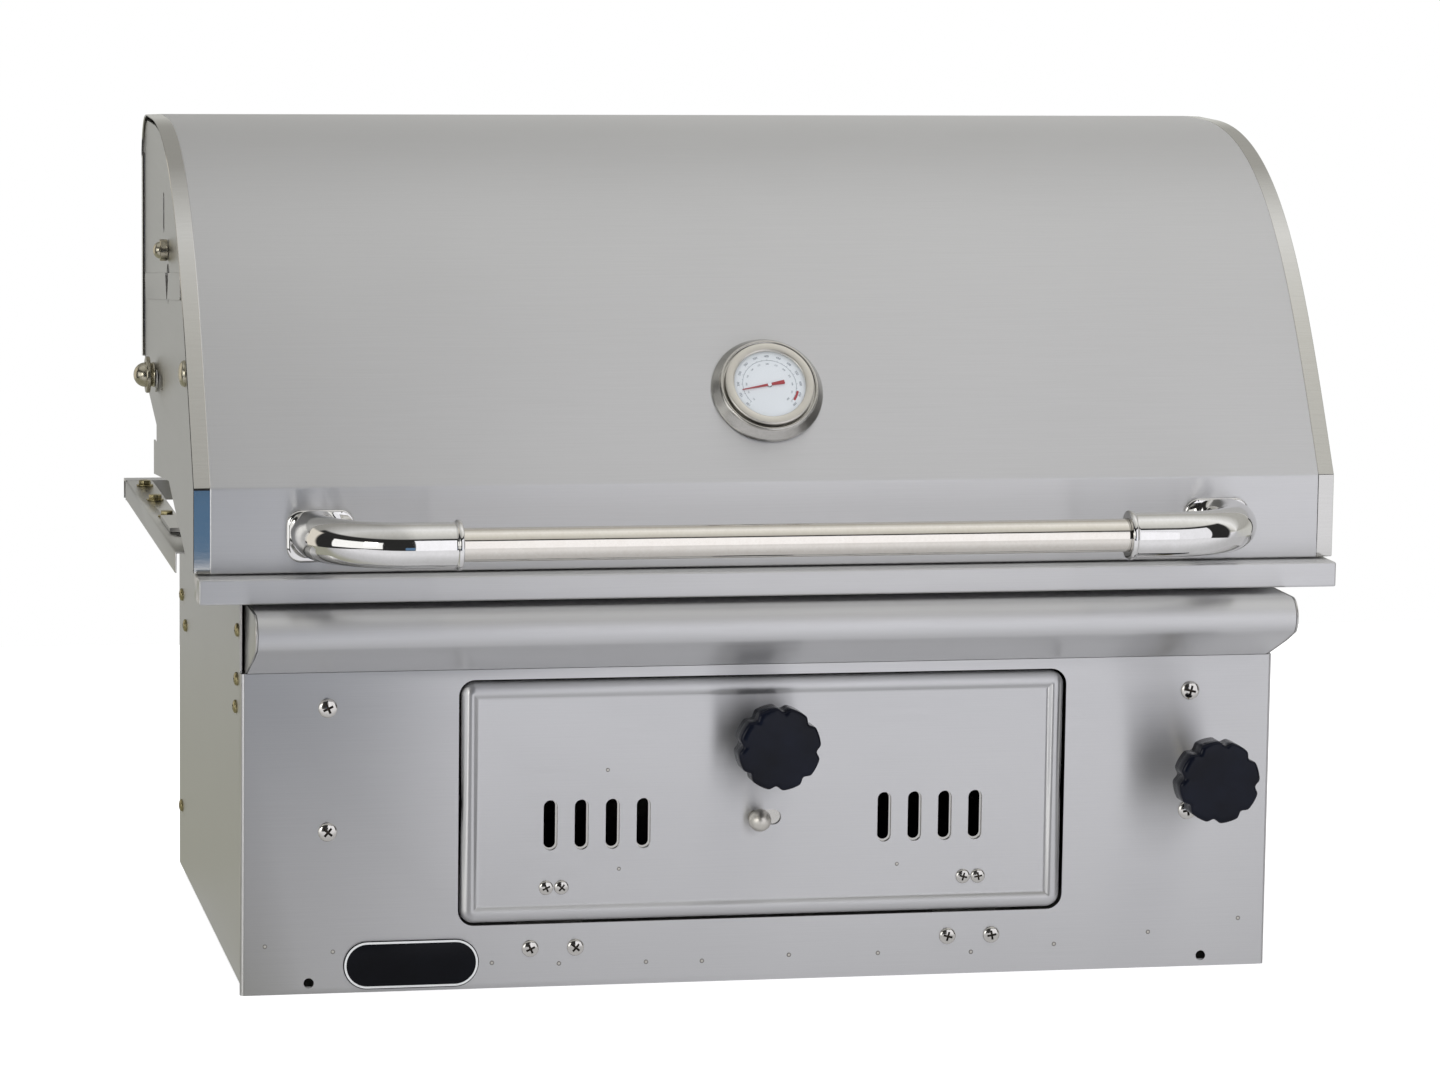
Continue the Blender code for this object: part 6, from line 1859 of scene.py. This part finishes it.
@dataclass
class Studio:
    """Camera at the photograph's angle, soft studio light and a pale floor."""

    camera_place: tuple[float, float, float] = (-0.7296, -3.59935, 0.7893)
    right: tuple[float, float, float] = (0.9799, -0.1990, 0.0134)
    up: tuple[float, float, float] = (0.0143, 0.1368, 0.9905)
    forward: tuple[float, float, float] = (0.1990, 0.9704, -0.1369)
    lens: float = 129.585
    shift: Point = (-0.0030, -0.0036)
    floor_half: float = 1.3
    # angle over the grill from ahead to behind, and what the metal mirrors there
    room: tuple[tuple[int, str], ...] = (
        (-180, "#D0D0CB"), (-90, "#C8C8CC"), (-20, "#F4F4FA"), (5, "#E0DED8"), (30, "#B5B4B1"),
        (42, "#C8C7C4"), (66, "#EAE9E5"), (90, "#FFFFFF"), (124, "#BAB9B5"), (160, "#AFAEA9"),
        (180, "#D0D0CB"))
    cards: tuple[Card, ...] = (
        Card((-118.0, 80.0), (-30.0, 39.0), 5.0, "#FFFFFF", 0.03),
        Card((-2.0, 6.8), (-15.0, -3.0), 0.4, "#5C7C9E", 1.2),
        Card((17.5, 54.0), (-30.0, 31.0), 1.0, "#F9F9FF", 1.14),
        Card((7.3, 17.5), (-30.0, 31.0), 0.4, "#F9F9FF", 1.34),
        Card((-84.0, -26.0), (-10.0, 20.0), 1.0, "#FFFFFF", 1.3),
        Card((-150.0, -108.0), (-22.0, 30.0), 5.0, "#FFF8EC", 0.9),
    )

    def build_camera(self) -> None:
        """Makes the camera and puts it in the scene."""
        data = bpy.data.cameras.new("camera")
        data.sensor_fit = "HORIZONTAL"
        data.sensor_width = 36.0
        data.lens = self.lens
        data.shift_x, data.shift_y = self.shift
        data.clip_end = 50.0
        item = bpy.data.objects.new("camera", data)
        turn = Matrix((self.right, self.up, [-part for part in self.forward])).transposed()
        item.matrix_world = Matrix.Translation(self.camera_place) @ turn.to_4x4()
        bpy.context.scene.collection.objects.link(item)
        bpy.context.scene.camera = item

    def build_world(self) -> None:
        """Makes the studio: white to the camera, walls, ceiling and soft boxes to the metal.

        The metal mirrors a room like the photographer's: dark ahead with one large soft
        box, a warm ceiling that brightens overhead, and a duller wall behind.
        """
        world = bpy.data.worlds.new("studio")
        bpy.context.scene.world = world
        world.use_nodes = True
        tree = world.node_tree
        tree.nodes.clear()
        place = add_node(tree, "ShaderNodeTexCoord")
        parts = add_node(tree, "ShaderNodeSeparateXYZ", {}, {0: place.outputs["Generated"]})
        ahead = add_node(tree, "ShaderNodeMath", {"operation": "MULTIPLY"}, {0: parts.outputs["Y"], 1: -1.0})
        over = self.degrees(tree, "ARCTAN2", parts.outputs["Z"], ahead.outputs["Value"])
        azimuth = self.degrees(tree, "ARCTAN2", parts.outputs["X"], ahead.outputs["Value"])
        height = self.degrees(tree, "ARCSINE", parts.outputs["Z"])
        share = add_node(tree, "ShaderNodeMapRange", {}, {
            "Value": over, "From Min": -180.0, "From Max": 180.0})
        room = add_node(tree, "ShaderNodeValToRGB", {}, {"Fac": share.outputs["Result"]})
        ramp = room.color_ramp
        while len(ramp.elements) < len(self.room):
            ramp.elements.new(0.5)
        for element, (angle, colour) in zip(ramp.elements, self.room):
            element.position = (angle + 180) / 360
            element.color = linear(colour)
        falloff = add_node(tree, "ShaderNodeMapRange", SMOOTH, {
            "Value": parts.outputs["X"], "From Min": -0.05, "From Max": 0.2, "To Min": 0.77, "To Max": 1.09})
        shaded = add_node(tree, "ShaderNodeVectorMath", {"operation": "SCALE"}, {
            0: room.outputs["Color"], "Scale": falloff.outputs["Result"]})
        mirrored = shaded.outputs["Vector"]
        for card in self.cards:
            red, green, blue, alpha = linear(card.colour)
            tone = (red * card.strength, green * card.strength, blue * card.strength, alpha)
            mask = add_node(tree, "ShaderNodeMath", {"operation": "MULTIPLY"}, {
                0: self.within(tree, azimuth, card.azimuth, card.soft),
                1: self.within(tree, height, card.height, card.soft)})
            mirrored = add_node(tree, "ShaderNodeMix", {"data_type": "RGBA"}, {
                "Factor": mask.outputs["Value"], "A": mirrored, "B": tone}).outputs["Result"]
        path = add_node(tree, "ShaderNodeLightPath")
        shown = add_node(tree, "ShaderNodeMix", {"data_type": "RGBA"}, {
            "Factor": path.outputs["Is Glossy Ray"], "A": (0.90, 0.90, 0.91, 1.0), "B": mirrored})
        seen = add_node(tree, "ShaderNodeMath", {"operation": "MAXIMUM"}, {
            0: path.outputs["Is Camera Ray"], 1: path.outputs["Is Transmission Ray"]})
        final = add_node(tree, "ShaderNodeMix", {"data_type": "RGBA"}, {
            "Factor": seen.outputs["Value"], "A": shown.outputs["Result"], "B": (1.0, 1.0, 1.0, 1.0)})
        background = add_node(tree, "ShaderNodeBackground", {}, {
            "Color": final.outputs["Result"], "Strength": 1.0})
        add_node(tree, "ShaderNodeOutputWorld", {}, {"Surface": background.outputs["Background"]})

    @staticmethod
    def degrees(tree: NodeTree, operation: str, first: NodeSocket,
                second: NodeSocket | None = None) -> NodeSocket:
        """Works out an angle of the looked-at direction in degrees.

        Args:
            tree: Tree that gets the nodes.
            operation: ARCTAN2 or ARCSINE.
            first: First input.
            second: Second input, for ARCTAN2.

        Returns:
            The angle.
        """
        inputs = {0: first} if second is None else {0: first, 1: second}
        angle = add_node(tree, "ShaderNodeMath", {"operation": operation}, inputs)
        turned = add_node(tree, "ShaderNodeMath", {"operation": "DEGREES"}, {0: angle.outputs["Value"]})
        return turned.outputs["Value"]

    @staticmethod
    def within(tree: NodeTree, angle: NodeSocket, limits: Point, soft: float) -> NodeSocket:
        """Mask that is one between two angles and fades out over a soft edge.

        Args:
            tree: Tree that gets the nodes.
            angle: The angle in degrees.
            limits: The two angles.
            soft: Width of the edge in degrees.

        Returns:
            The mask.
        """
        rise = add_node(tree, "ShaderNodeMapRange", SMOOTH, {
            "Value": angle, "From Min": limits[0] - soft / 2, "From Max": limits[0] + soft / 2})
        fall = add_node(tree, "ShaderNodeMapRange", SMOOTH, {
            "Value": angle, "From Min": limits[1] - soft / 2, "From Max": limits[1] + soft / 2, "To Min": 1.0,
            "To Max": 0.0})
        return add_node(tree, "ShaderNodeMath", {"operation": "MULTIPLY"}, {
            0: rise.outputs["Result"], 1: fall.outputs["Result"]}).outputs["Value"]

    @staticmethod
    def build_lamp(name: str, place: Sequence[float], target: Sequence[float], size: Point, power: float,
                   colour: str) -> None:
        """Makes one soft box.

        Args:
            name: Name of the lamp.
            place: Where it hangs.
            target: Where it points.
            size: Width and height of its face.
            power: Power in watts.
            colour: Colour of its light.
        """
        data = bpy.data.lights.new(name, "AREA")
        data.shape = "RECTANGLE"
        data.size, data.size_y = size
        data.energy = power
        data.color = linear(colour)[:3]
        item = bpy.data.objects.new(name, data)
        turn = (Vector(target) - Vector(place)).to_track_quat("-Z", "Y")
        item.matrix_world = Matrix.Translation(place) @ turn.to_matrix().to_4x4()
        bpy.context.scene.collection.objects.link(item)

    def build_floor(self) -> None:
        """Makes the pale floor, which keeps the grill's shadow, glows white to the camera and shows the metal
        painted reflection tones.
        """
        shape = bmesh.new()
        bmesh.ops.create_grid(shape, x_segments=1, y_segments=1, size=self.floor_half)
        mesh = bpy.data.meshes.new("floor")
        shape.to_mesh(mesh)
        shape.free()
        material, tree = new_material("pale_studio_floor")
        place = add_node(tree, "ShaderNodeTexCoord")
        cloud = add_node(tree, "ShaderNodeTexNoise", {}, {"Vector": place.outputs["Object"], "Scale": 1.5})
        colour = tone_ramp(tree, cloud.outputs["Fac"], "#EDEDEE", "#F1F1F2")
        matt = add_node(tree, "ShaderNodeBsdfDiffuse", {}, {"Color": colour})
        path = add_node(tree, "ShaderNodeLightPath")
        glow = add_node(tree, "ShaderNodeEmission", {}, {"Color": (1.0, 1.0, 1.0, 1.0), "Strength": 0.62})
        lit = add_node(tree, "ShaderNodeAddShader", {}, {
            0: matt.outputs["BSDF"], 1: glow.outputs["Emission"]})
        # for glossy rays only the floor glows with painted reflection tones: near white far ahead, grey close
        # to the grill, olive to its left and behind
        parts = add_node(tree, "ShaderNodeSeparateXYZ", {}, {0: place.outputs["Object"]})
        near = add_node(tree, "ShaderNodeMapRange", SMOOTH, {
            "Value": parts.outputs["Y"], "From Min": -0.75, "From Max": -0.25})
        left = add_node(tree, "ShaderNodeMapRange", SMOOTH, {
            "Value": parts.outputs["X"], "From Min": -0.22, "From Max": -0.50})
        beside = add_node(tree, "ShaderNodeMapRange", SMOOTH, {
            "Value": parts.outputs["Y"], "From Min": -0.34, "From Max": -0.18,
            "To Max": left.outputs["Result"]})
        rear = add_node(tree, "ShaderNodeMapRange", SMOOTH, {
            "Value": parts.outputs["Y"], "From Min": 0.10, "From Max": 0.30})
        tone = linear("#FAFAFF")
        for mask, colour in ((near, "#CBCBCE"), (beside, "#AAAA9C"), (rear, "#AFAFA2")):
            tone = add_node(tree, "ShaderNodeMix", {"data_type": "RGBA"}, {
                "Factor": mask.outputs["Result"], "A": tone, "B": linear(colour)}).outputs["Result"]
        mirror_glow = add_node(tree, "ShaderNodeEmission", {}, {"Color": tone, "Strength": 1.0})
        mirrored = add_node(tree, "ShaderNodeMath", {"operation": "MAXIMUM"}, {
            0: path.outputs["Is Glossy Ray"], 1: path.outputs["Is Transmission Ray"]})
        bounce = add_node(tree, "ShaderNodeMixShader", {}, {
            0: mirrored.outputs["Value"], 1: matt.outputs["BSDF"], 2: mirror_glow.outputs["Emission"]})
        shader = add_node(tree, "ShaderNodeMixShader", {}, {
            0: path.outputs["Is Camera Ray"], 1: bounce.outputs["Shader"], 2: lit.outputs["Shader"]})
        add_node(tree, "ShaderNodeOutputMaterial", {}, {"Surface": shader.outputs["Shader"]})
        mesh.materials.append(material)
        item = bpy.data.objects.new("floor", mesh)
        bpy.context.scene.collection.objects.link(item)

    def build(self) -> None:
        """Makes the whole studio."""
        bpy.context.scene.view_settings.view_transform = "Standard"
        self.build_camera()
        self.build_world()
        self.build_lamp("key_softbox", place=(-2.2, -2.65, 1.0), target=(0, 0, 0.3), size=(0.8, 1.0),
                        power=7.5, colour="#FFFDF8")
        self.build_floor()


def main() -> None:
    """Builds the grill's looks piece by piece over the frame."""
    logging.basicConfig(level=logging.INFO, format="%(name)s: %(message)s")
    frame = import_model()
    studio = Studio()
    studio.build()
    palette = Palette.build()
    dress_nodes(frame["nodes"], frame["record"], palette)
    shop = Workshop(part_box("front_panel")[0].y, palette)
    lid = Lid()
    lid.build(shop)
    LidPivots().build(shop)
    Handle().build(shop)
    Thermometer().build(shop, lid)
    Bullnose().build(shop)
    FrontPanel().build(shop)
    Ledge().build(shop)
    Door().build(shop)
    HeightDrive().build(shop)
    Body().build(shop)
    LOG.info("%d pieces made", shop.made)


if __name__ == "__main__":
    main()
